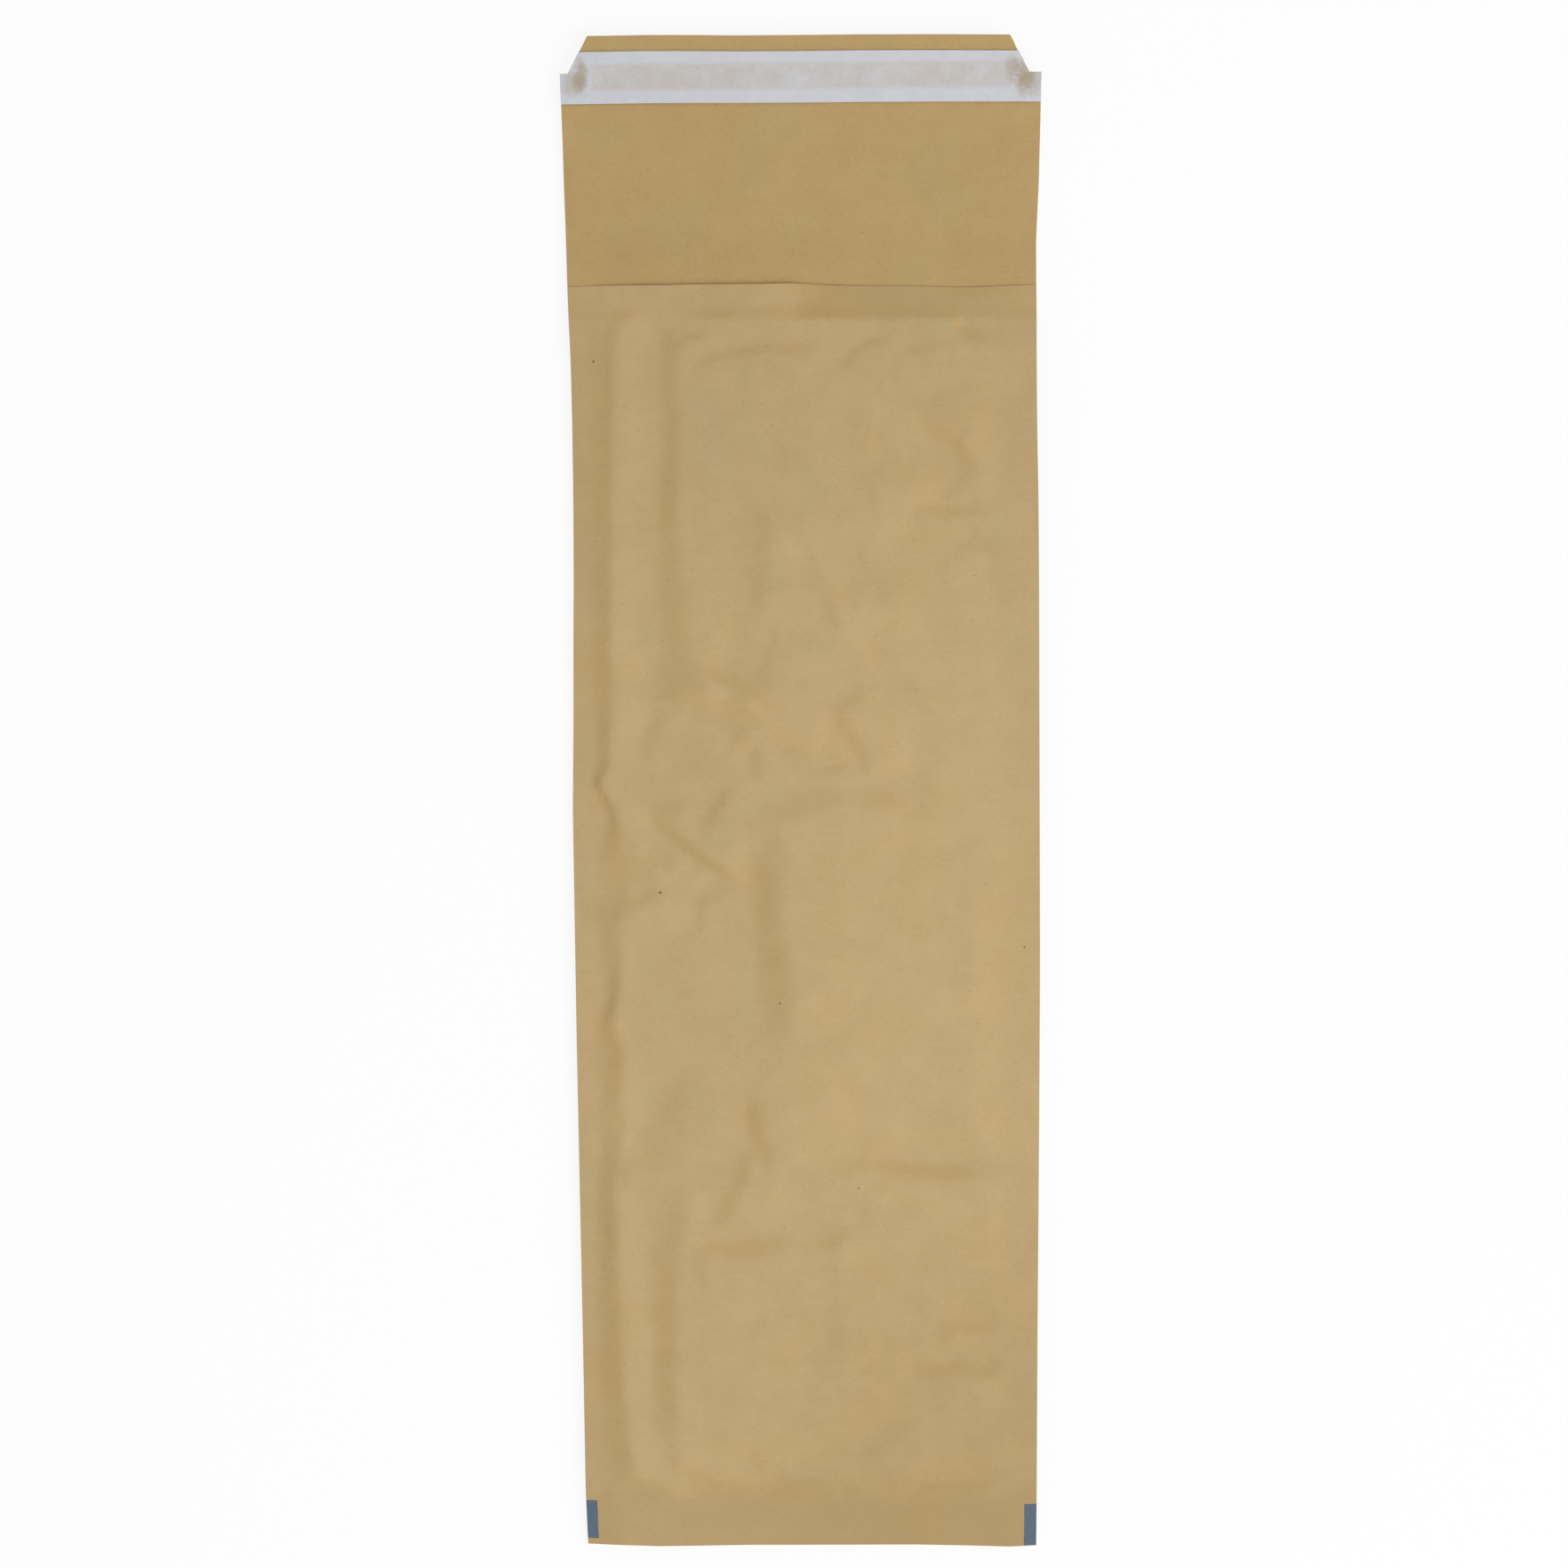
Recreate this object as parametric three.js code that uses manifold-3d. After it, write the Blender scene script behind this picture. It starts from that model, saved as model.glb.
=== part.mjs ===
// Padded mailing envelope, empty and unsealed, lying face up with its flap open.
// One kraft blank is folded once across the bottom and closed along both sides by heat seams.
// A bubble film lining, folded the same way and melted into the seams, makes the padded pocket.
// The flap carries a strip of hot-melt adhesive under a release liner.
// Millimetres. X runs across the bag, Y from the bottom fold to the flap, Z up from the table.
import * as THREE from "three";
import { mergeVertices } from "three/addons/utils/BufferGeometryUtils.js";
import Module from "manifold-3d";

const wasm = await Module();
wasm.setup();

// Overall sizes
const BAG_WIDTH = 120; // cut edge to cut edge
const POCKET_LENGTH = 330; // bottom fold to the front lip
const FLAP_LENGTH = 63.4; // front lip to the flap's end

// Sheets
const PAPER = 0.15; // kraft blank
const PAD = 2.6; // bubble film in the pocket, one layer with its bubbles
const FUSED_FILM = 0.2; // both films melted together in a seam
const FIT = 0.1; // clearance between a sheet and the sheet that it lies on
const TOUCH_GAP = 0.3; // clearance between the two pads where they rest on each other

// Margins where the bag has no padding
const SEAM_WIDTH = 6.5; // heat seam along each side
const FOLD_MARGIN = 12; // bottom fold to the pocket's end
const FILM_FOLD = 1.5; // pressed fold of the lining, past the pocket's end
const LIP_MARGIN = 7.4; // lining's cut edge to the front lip

// Relief of the padded pocket
const PAD_RUN = 4.5; // width of the slope from a margin up to the padding
const LIP_RUN = 3; // the same slope at the lip
const SHELF_WIDTH = 11; // pads held together beside the left seam
const GAPE_STEP = 1.8; // how far the pads part at once where the pocket opens
const STEP_RUN = 6; // width of that step
const GAPE_DOME = 2.6; // how far they part further on, towards the middle
const DOME_RUN = 26; // width of the dome's flank, from where the pocket opens
const FOOT_RUN = 30; // length above the bottom margin over which the pocket opens
const SEAM_LIFT = 3; // height of the margins above the table
const MOUTH_DRAW = 0.7; // how far the open mouth draws each side edge inwards
const DRAW_REACH = 110; // length below the mouth over which it does so

// Flap and its closure
const FLAP_CURL = 5.5; // rise of the flap's end
const FLAP_SETTLE = 24; // length over which the flap comes down from the mouth
const LINER_WIDTH = 12.5;
const LINER = 0.1; // release paper
const LINER_INSET = 4.1; // flap's end to the liner
const GLUE_WIDTH = 6.5;
const GLUE = 0.12; // hot-melt film
const GLUE_END_INSET = 7; // bag's side edge to the adhesive's end

// Die-cut corners of the flap
const CUT_HEIGHT = 8.8; // flap's end to the shoulder
const CUT_INSET = 7.1; // side edge to the corner left at the flap's end
const SHOULDER_INSET = 2.6; // side edge to the slant's foot
const CUT_SHIFT = -0.5; // the die ran off centre
const CUT_REACH = 8; // how far the cutter stands past the sheet

// Facets along each stretch
const SLOPE_STEPS = 4;
const FLAT_STEPS = 2;
const PLATEAU_STEPS = 3;
const LENGTH_STEPS = 6;
const FOLD_STEPS = 4;
const FLAP_STEPS = 4;

// Sizes that follow
const HALF = BAG_WIDTH / 2;
const BAG_LENGTH = POCKET_LENGTH + FLAP_LENGTH;
const LINING_END = POCKET_LENGTH - LIP_MARGIN;
const SEAM_STACK = 2 * FIT + FUSED_FILM; // between the two papers in a seam
const FOLD_RADIUS = PAPER + SEAM_STACK / 2;
const padLeft = SEAM_WIDTH - HALF; // inner edge of the left seam
const shelfLeft = padLeft + PAD_RUN;
const gapeLeft = shelfLeft + SHELF_WIDTH; // where the pocket starts to open
const padRight = HALF - SEAM_WIDTH;
const gapeRight = padRight - PAD_RUN;
const LINER_START = BAG_LENGTH - LINER_INSET - LINER_WIDTH;
const GLUE_START = LINER_START + (LINER_WIDTH - GLUE_WIDTH) / 2;

// 0 before start, 1 after start + run, with a smooth slope between
const rise = (value, start, run) => THREE.MathUtils.smoothstep(value, start, start + run);

// Share of the padding under a point of the panel: 0 in the side seams and the bottom margin
function padding(x, y) {
  const across = Math.min(
    rise(x + HALF, SEAM_WIDTH, PAD_RUN),
    rise(HALF - x, SEAM_WIDTH, PAD_RUN),
  );
  return across * rise(y, FOLD_MARGIN, PAD_RUN);
}

// How far the pads stand apart at a point of the pocket: a step at each side, then a low dome
function gape(x, y) {
  const inside = Math.min(x - gapeLeft, gapeRight - x);
  const across = GAPE_STEP * rise(inside, 0, STEP_RUN) + GAPE_DOME * rise(inside, 0, DOME_RUN);
  return across * rise(y, FOLD_MARGIN + PAD_RUN, FOOT_RUN);
}

// Space between the two pads
const pocketGap = (x, y) => TOUCH_GAP * padding(x, y) + gape(x, y);

// Thickness of one layer of the lining
const padDepth = (x, y) => THREE.MathUtils.lerp(FUSED_FILM / 2, PAD, padding(x, y));

// Underside of the back paper where the padding holds it down between the margins
const backRest = (x, y) => SEAM_LIFT * (1 - padding(x, y));

// The same paper past the lining: it comes up level with the seams and runs on into the flap
function backHeight(x, y) {
  const bare = rise(y, LINING_END, LIP_MARGIN);
  const settled = rise(y, POCKET_LENGTH, FLAP_SETTLE);
  const along = Math.max(0, (y - POCKET_LENGTH) / FLAP_LENGTH);
  const level = THREE.MathUtils.lerp(backRest(x, y), SEAM_LIFT, bare);
  return level * (1 - settled) + FLAP_CURL * along ** 2;
}

// Inner face of the front paper, which drops from the lining's edge to the bare lip
function frontHeight(x, y) {
  const lip = rise(y, LINING_END, LIP_RUN);
  const frontPad = (padDepth(x, y) - FUSED_FILM / 2) * (1 - lip);
  const backPad = padDepth(x, y) + FUSED_FILM / 2;
  return backRest(x, y) + PAPER + 2 * FIT + frontPad + backPad + pocketGap(x, y);
}

// The open mouth draws the side edges in, and they run out again towards the flap's end
function drawnIn(x, y) {
  const below = rise(y, POCKET_LENGTH - DRAW_REACH, DRAW_REACH * 0.7);
  const above = rise(y, POCKET_LENGTH, FLAP_LENGTH);
  return x * (1 - (MOUTH_DRAW / HALF) * below * (1 - above));
}

const point = (x, y, z) => new THREE.Vector3(drawnIn(x, y), y, z);

// Stations that split each stretch between two stops into its own number of steps
function stations(stops, steps) {
  const found = [stops[0]];
  steps.forEach((count, i) => {
    for (let k = 1; k <= count; k++) found.push(THREE.MathUtils.lerp(stops[i], stops[i + 1], k / count));
  });
  return found;
}

// Across the bag, between the seams: slope, shelf, step, dome, step and slope
const innerStops = [
  padLeft,
  shelfLeft,
  gapeLeft,
  gapeLeft + STEP_RUN,
  gapeLeft + DOME_RUN,
  gapeRight - DOME_RUN,
  gapeRight - STEP_RUN,
  gapeRight,
  padRight,
];
const innerSteps = [
  SLOPE_STEPS,
  FLAT_STEPS,
  SLOPE_STEPS,
  SLOPE_STEPS,
  PLATEAU_STEPS,
  SLOPE_STEPS,
  SLOPE_STEPS,
  SLOPE_STEPS,
];
const pocketColumns = stations(innerStops, innerSteps);
const bagColumns = stations(
  [-HALF, ...innerStops, HALF],
  [FLAT_STEPS, ...innerSteps, FLAT_STEPS],
);

// Along the bag, from the pocket's end to the lining's cut edge
const footEnd = FOLD_MARGIN + PAD_RUN;
const liningStops = [FOLD_MARGIN, footEnd, footEnd + FOOT_RUN, LINING_END];
const liningSteps = [SLOPE_STEPS, SLOPE_STEPS, LENGTH_STEPS];
const liningRows = stations(liningStops, liningSteps);

// A closed sheet over a grid of columns and rows, between two faces that give a point for each
function sheetGeometry(columns, rows, under, over) {
  const corners = [];
  const faces = [];
  const wide = columns.length;
  const layer = wide * rows.length;
  for (const face of [under, over])
    for (const row of rows)
      for (const x of columns) corners.push(...face(x, row).toArray());
  const corner = (k) => new THREE.Vector3().fromArray(corners, 3 * k);
  const span = (a, b) => corner(a).distanceTo(corner(b));
  // Split along the shorter diagonal, so that sheets lying on each other are split alike
  const quad = (a, b, c, d) =>
    faces.push(...(span(a, c) <= span(b, d) ? [a, b, c, a, c, d] : [b, c, d, b, d, a]));
  const at = (i, j) => j * wide + i;
  for (let j = 0; j + 1 < rows.length; j++)
    for (let i = 0; i + 1 < wide; i++) {
      const ring = [at(i, j), at(i + 1, j), at(i + 1, j + 1), at(i, j + 1)];
      quad(ring[3], ring[2], ring[1], ring[0]);
      quad(...ring.map((k) => k + layer));
    }
  const wall = (a, b) => quad(a, b, b + layer, a + layer);
  for (let i = 0; i + 1 < wide; i++) {
    wall(at(i, 0), at(i + 1, 0));
    wall(at(i + 1, rows.length - 1), at(i, rows.length - 1));
  }
  for (let j = 0; j + 1 < rows.length; j++) {
    wall(at(0, j + 1), at(0, j));
    wall(at(wide - 1, j), at(wide - 1, j + 1));
  }
  return new THREE.BufferGeometry()
    .setAttribute("position", new THREE.Float32BufferAttribute(corners, 3))
    .setIndex(faces);
}

// A geometry as a solid. Where a sheet runs out to nothing its two faces meet in one edge.
function solidOf(geometry) {
  const bare = geometry.clone();
  bare.deleteAttribute("normal");
  bare.deleteAttribute("uv");
  const merged = mergeVertices(bare);
  const kept = [];
  for (let i = 0; i < merged.index.count; i += 3) {
    const [a, b, c] = [0, 1, 2].map((k) => merged.index.getX(i + k));
    if (a !== b && b !== c && c !== a) kept.push(a, b, c);
  }
  const vertProperties = merged.attributes.position.array;
  return new wasm.Manifold(
    new wasm.Mesh({ numProp: 3, vertProperties, triVerts: new Uint32Array(kept) }),
  );
}

function geometryOf(solid) {
  const mesh = solid.getMesh();
  const geometry = new THREE.BufferGeometry()
    .setAttribute("position", new THREE.BufferAttribute(mesh.vertProperties, 3))
    .setIndex(new THREE.BufferAttribute(mesh.triVerts, 1));
  geometry.computeVertexNormals();
  return geometry;
}

// The waste that the die takes from one corner of the flap, through every sheet there
function cornerCutter(side) {
  const top = side * (HALF - CUT_INSET) + CUT_SHIFT;
  const shoulder = side * (HALF - SHOULDER_INSET) + CUT_SHIFT;
  const outside = side * (HALF + CUT_REACH);
  const slope = (top - shoulder) / CUT_HEIGHT;
  const beyond = BAG_LENGTH + CUT_REACH;
  const waste = new THREE.Shape([
    new THREE.Vector2(outside, BAG_LENGTH - CUT_HEIGHT),
    new THREE.Vector2(outside, beyond),
    new THREE.Vector2(top + slope * CUT_REACH, beyond),
    new THREE.Vector2(shoulder, BAG_LENGTH - CUT_HEIGHT),
  ]);
  const depth = FLAP_CURL + 2 * CUT_REACH;
  return solidOf(
    new THREE.ExtrudeGeometry(waste, { depth, bevelEnabled: false }).translate(0, 0, -CUT_REACH),
  );
}

const cutters = [-1, 1].map(cornerCutter);
const dieCut = (solid) => cutters.reduce((left, cutter) => left.subtract(cutter), solid);

// The kraft blank as folded: front lip, front panel, bottom fold, back panel, flap
function kraftWrap() {
  const slopes = stations(
    [FOLD_RADIUS, FOLD_MARGIN, ...liningStops.slice(1)],
    [FLAT_STEPS, ...liningSteps],
  );
  const lip = stations(
    [LINING_END, LINING_END + LIP_RUN, POCKET_LENGTH],
    [SLOPE_STEPS, FLAT_STEPS],
  ).slice(1);
  const flap = stations(
    [LINING_END, POCKET_LENGTH, POCKET_LENGTH + FLAP_SETTLE, LINER_START, BAG_LENGTH],
    [SLOPE_STEPS, FLAP_STEPS, FLAP_STEPS, FLAP_STEPS],
  ).slice(1);
  const front = [...slopes, ...lip].reverse().map((y) => ({ y, panel: "front" }));
  const fold = stations([0, Math.PI], [FOLD_STEPS])
    .slice(1, -1)
    .map((turn) => ({ turn, panel: "fold" }));
  const back = [...slopes, ...flap].map((y) => ({ y, panel: "back" }));

  // The sheet's face at a depth into the paper, from 0 outside to PAPER inside
  const face = (depth) => (x, row) => {
    if (row.panel === "front") return point(x, row.y, frontHeight(x, row.y) + PAPER - depth);
    if (row.panel === "back") return point(x, row.y, backHeight(x, row.y) + depth);
    const radius = FOLD_RADIUS - depth;
    const middle = backHeight(x, 0) + FOLD_RADIUS;
    const y = FOLD_RADIUS - radius * Math.sin(row.turn);
    return point(x, y, middle + radius * Math.cos(row.turn));
  };
  const rows = [...front, ...fold, ...back];
  return dieCut(solidOf(sheetGeometry(bagColumns, rows, face(0), face(PAPER))));
}

// The bubble film lining: two pads joined by a fold and by the fused seams, round the open pocket
function bubbleLining() {
  const floor = (x, y) => backHeight(x, y) + PAPER + FIT;
  const roof = (x, y) => frontHeight(x, y) - FIT;
  const whole = sheetGeometry(
    bagColumns,
    [FOLD_MARGIN - FILM_FOLD, ...liningRows],
    (x, y) => point(x, y, floor(x, y)),
    (x, y) => point(x, y, roof(x, y)),
  );
  // The pocket runs out past the lining's cut edge, so that its mouth is open
  const pocketRows = [...liningRows.slice(0, -1), LINING_END + LIP_RUN];
  const seat = (x, y) => floor(x, y) + padDepth(x, y);
  const pocket = sheetGeometry(
    pocketColumns,
    pocketRows,
    (x, y) => point(x, y, seat(x, y)),
    (x, y) => point(x, y, seat(x, y) + pocketGap(x, y)),
  );
  return solidOf(whole).subtract(solidOf(pocket));
}

// A strip that lies on the flap's inner face, a height above it
function flapStrip(columns, start, width, height, thickness) {
  const rows = stations([start, start + width], [FLAP_STEPS]);
  const face = (up) => (x, y) => point(x, y, backHeight(x, y) + PAPER + height + up);
  return solidOf(sheetGeometry(columns, rows, face(0), face(thickness)));
}

function adhesiveStrip() {
  const end = HALF - GLUE_END_INSET;
  const columns = stations([-end, end], [LENGTH_STEPS]);
  return flapStrip(columns, GLUE_START, GLUE_WIDTH, FIT, GLUE);
}

function releaseLiner() {
  const height = 2 * FIT + GLUE;
  return dieCut(flapStrip(bagColumns, LINER_START, LINER_WIDTH, height, LINER));
}

function named(name, solid, color, roughness) {
  const material = new THREE.MeshStandardMaterial({ color, roughness, metalness: 0 });
  const mesh = new THREE.Mesh(geometryOf(solid), material);
  mesh.name = name;
  return mesh;
}

const bag = new THREE.Group();
bag.add(named("kraft_wrap", kraftWrap(), "#bda377", 0.8));
bag.add(named("bubble_lining", bubbleLining(), "#dfe2e0", 0.25));

const closure = new THREE.Group();
closure.add(named("adhesive_strip", adhesiveStrip(), "#d8c48c", 0.4));
closure.add(named("release_liner", releaseLiner(), "#c9c9cb", 0.5));

// Distances above run from the bottom fold, and the part's origin is under the middle of the bag
const blank = new THREE.Group();
blank.add(bag, closure);
blank.position.y = -BAG_LENGTH / 2;

const envelope = new THREE.Group();
envelope.add(blank);

export default envelope;
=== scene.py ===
"""Padded mailing envelope: the looks of an empty kraft bag that lies face up with its flap open.

The flat blank is die-cut and then folded, as the real one is. Lengths are in millimetres, in the
part's own frame: X across the bag, Y from the bottom fold to the flap, Z up from the table.
"""

from __future__ import annotations

import logging
import math
from dataclasses import dataclass
from enum import Enum
from typing import Any, Sequence

import bpy
import numpy as np
from mathutils import Euler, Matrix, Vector

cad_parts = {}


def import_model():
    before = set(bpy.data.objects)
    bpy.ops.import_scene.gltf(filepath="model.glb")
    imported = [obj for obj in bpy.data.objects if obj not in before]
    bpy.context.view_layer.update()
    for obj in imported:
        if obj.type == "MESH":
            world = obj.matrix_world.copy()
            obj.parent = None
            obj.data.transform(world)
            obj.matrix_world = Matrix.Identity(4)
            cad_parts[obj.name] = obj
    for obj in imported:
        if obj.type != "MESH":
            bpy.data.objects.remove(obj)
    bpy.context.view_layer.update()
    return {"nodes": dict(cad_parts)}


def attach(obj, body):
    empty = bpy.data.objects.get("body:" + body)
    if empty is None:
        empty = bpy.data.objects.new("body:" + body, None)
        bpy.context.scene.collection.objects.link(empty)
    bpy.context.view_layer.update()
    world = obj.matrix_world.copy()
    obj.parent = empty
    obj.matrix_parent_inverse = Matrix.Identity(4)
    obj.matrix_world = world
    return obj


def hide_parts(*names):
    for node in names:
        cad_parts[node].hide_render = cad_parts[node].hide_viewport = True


LOG = logging.getLogger("padded_envelope")
MM = 0.001
SMOOTH_ANGLE = math.radians(50.0)
BLANK_MAP = "blank"
# Attribute that carries the share of painted shade on steep slopes
SLOPE_SHADE_NOTE = "painted_bend_shade"

Point = tuple[float, float]
Colour = tuple[float, float, float, float]
Amount = float | np.ndarray


def srgb(red: int, green: int, blue: int) -> Colour:
    """Turns a colour as seen on screen into the linear one that a shader takes.

    Args:
        red: Red, from 0 to 255.
        green: Green, from 0 to 255.
        blue: Blue, from 0 to 255.

    Returns:
        The linear colour, with an alpha of 1.
    """
    parts = [c / 255 for c in (red, green, blue)]
    linear = [c / 12.92 if c <= 0.04045 else ((c + 0.055) / 1.055) ** 2.4 for c in parts]
    return (linear[0], linear[1], linear[2], 1.0)


def ramp(value: np.ndarray, start: Amount, run: Amount) -> np.ndarray:
    """Rises smoothly from 0 at start to 1 at start + run."""
    t = np.clip((value - start) / run, 0.0, 1.0)
    return t * t * (3.0 - 2.0 * t)


def climb(value: np.ndarray, start: Amount, run: Amount, ease: float, skew: Amount) -> np.ndarray:
    """Rises from 0 to 1 as a ramp does, with its ends drawn out and its steepest part moved.

    Args:
        value: Places at which it is read.
        start: Where the slope starts.
        run: The slope's length.
        ease: Share of that length by which each end is drawn out.
        skew: 0 for a plain ramp, 1 for a late and steep rise, and below 0 for an earlier one.

    Returns:
        The share risen at each place.
    """
    t = np.clip((value - start + ease * run) / ((1.0 + 2.0 * ease) * run), 0.0, 1.0)
    even = 3.0 - 2.0 * t
    late = 0.4 + 0.85 * t - 0.25 * t * t  # 1 at the upper end, as the even rise is
    return t * t * ((1.0 - skew) * even + skew * late)


@dataclass(frozen=True)
class Line:
    """A smooth line through stations that are chosen along the bag or across it.

    Args:
        stations: Pairs of a place and the line's value there, from low to high.
        samples: Number of places between which the line is straight.
        blur: Number of samples over which its corners are rounded.
    """

    stations: tuple[Point, ...]
    samples: int = 800
    blur: int = 9

    def at(self, place: np.ndarray) -> np.ndarray:
        """Reads the line.

        Args:
            place: Places along the bag or across it.

        Returns:
            The line's value at each place.
        """
        known = np.array(self.stations)
        fine = np.linspace(known[0, 0], known[-1, 0], self.samples)
        values = np.interp(fine, known[:, 0], known[:, 1])
        kernel = np.hanning(self.blur)
        padded = np.pad(values, self.blur // 2, mode="edge")
        return np.interp(place, fine, np.convolve(padded, kernel / kernel.sum(), mode="valid"))


@dataclass(frozen=True)
class Crease:
    """A crease that the padding has pressed into the front panel.

    It is a step that rises to the right of the direction in which its points are walked, and both
    its sides then run out.

    Args:
        points: The crease's course across the panel.
        width: Width of its slope.
        depth: Height of the step.
        tail: Distance over which each of its sides runs out.
        ends: Shares of its length over which it fades in and out.
        sunk: Share of its height that lies below the panel.
        end_width: Share of its width that is left at its ends.
        end_tail: Share of its tail that is left there.
    """

    points: tuple[Point, ...]
    width: float
    depth: float
    tail: float = 9.0
    ends: Point = (0.3, 0.3)
    sunk: float = 0.5
    end_width: float = 0.45
    end_tail: float = 0.3

    def height(self, x: np.ndarray, y: np.ndarray) -> np.ndarray:
        """Gives the crease's height over the panel.

        Args:
            x: Places across the bag.
            y: Places along the bag.

        Returns:
            The height that the crease adds at each place.
        """
        made = np.zeros_like(x)
        corners = np.array(self.points)
        reach = self.width / 2 + self.tail
        low, high = corners.min(axis=0) - reach, corners.max(axis=0) + reach
        near = (x > low[0]) & (x < high[0]) & (y > low[1]) & (y < high[1])
        if not near.any():
            return made
        side, share = self._measure(x[near], y[near], corners)
        envelope = ramp(share, 0.0, self.ends[0]) * ramp(1.0 - share, 0.0, self.ends[1])
        width = self.width * (self.end_width + (1.0 - self.end_width) * envelope)
        tail = self.tail * (self.end_tail + (1.0 - self.end_tail) * envelope)
        slope = ramp(side, -width / 2, width) - self.sunk
        fade = 1.0 - ramp(np.abs(side), width / 2, tail)
        made[near] = self.depth * envelope * slope * fade
        return made

    @staticmethod
    def _measure(
        x: np.ndarray, y: np.ndarray, corners: np.ndarray
    ) -> tuple[np.ndarray, np.ndarray]:
        """Measures places against the crease's course.

        Args:
            x: Places across the bag.
            y: Places along the bag.
            corners: The course's points.

        Returns:
            The distance to the right of the course, and the share of its length walked.
        """
        spans = np.diff(corners, axis=0)
        lengths = np.hypot(spans[:, 0], spans[:, 1])
        walked = np.concatenate([[0.0], np.cumsum(lengths)]) / lengths.sum()
        nearest = np.full_like(x, np.inf)
        side = np.zeros_like(x)
        share = np.zeros_like(x)
        for i, (dx, dy) in enumerate(spans):
            ax, ay = x - corners[i, 0], y - corners[i, 1]
            t = np.clip((ax * dx + ay * dy) / lengths[i] ** 2, 0.0, 1.0)
            away = np.hypot(ax - t * dx, ay - t * dy)
            closer = away < nearest
            nearest = np.where(closer, away, nearest)
            turned = np.sign(ax * dy - ay * dx) * away
            side = np.where(closer, turned, side)
            share = np.where(closer, walked[i] + t * (walked[i + 1] - walked[i]), share)
        return side, share


@dataclass(frozen=True)
class Ripple:
    """Slow waves of a sheet that doesn't lie quite flat.

    Args:
        height: Height of the waves.
        shortest: Shortest wave's length.
        longest: Longest wave's length.
        seed: Seed of the waves' directions.
        count: Number of waves that are laid over each other.
    """

    height: float
    shortest: float
    longest: float
    seed: int
    count: int = 18

    def at(self, x: np.ndarray, y: np.ndarray) -> np.ndarray:
        """Lays the waves over each other.

        Args:
            x: Places across the sheet.
            y: Places along it.

        Returns:
            The waves' height at each place.
        """
        draw = np.random.default_rng(self.seed)
        total = np.zeros_like(x)
        for _ in range(self.count):
            length = draw.uniform(self.shortest, self.longest)
            turn, phase = draw.uniform(0.0, 2.0 * math.pi, 2)
            total += np.sin(2 * math.pi * (x * math.cos(turn) + y * math.sin(turn)) / length + phase)
        return self.height * total / math.sqrt(self.count)


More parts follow.
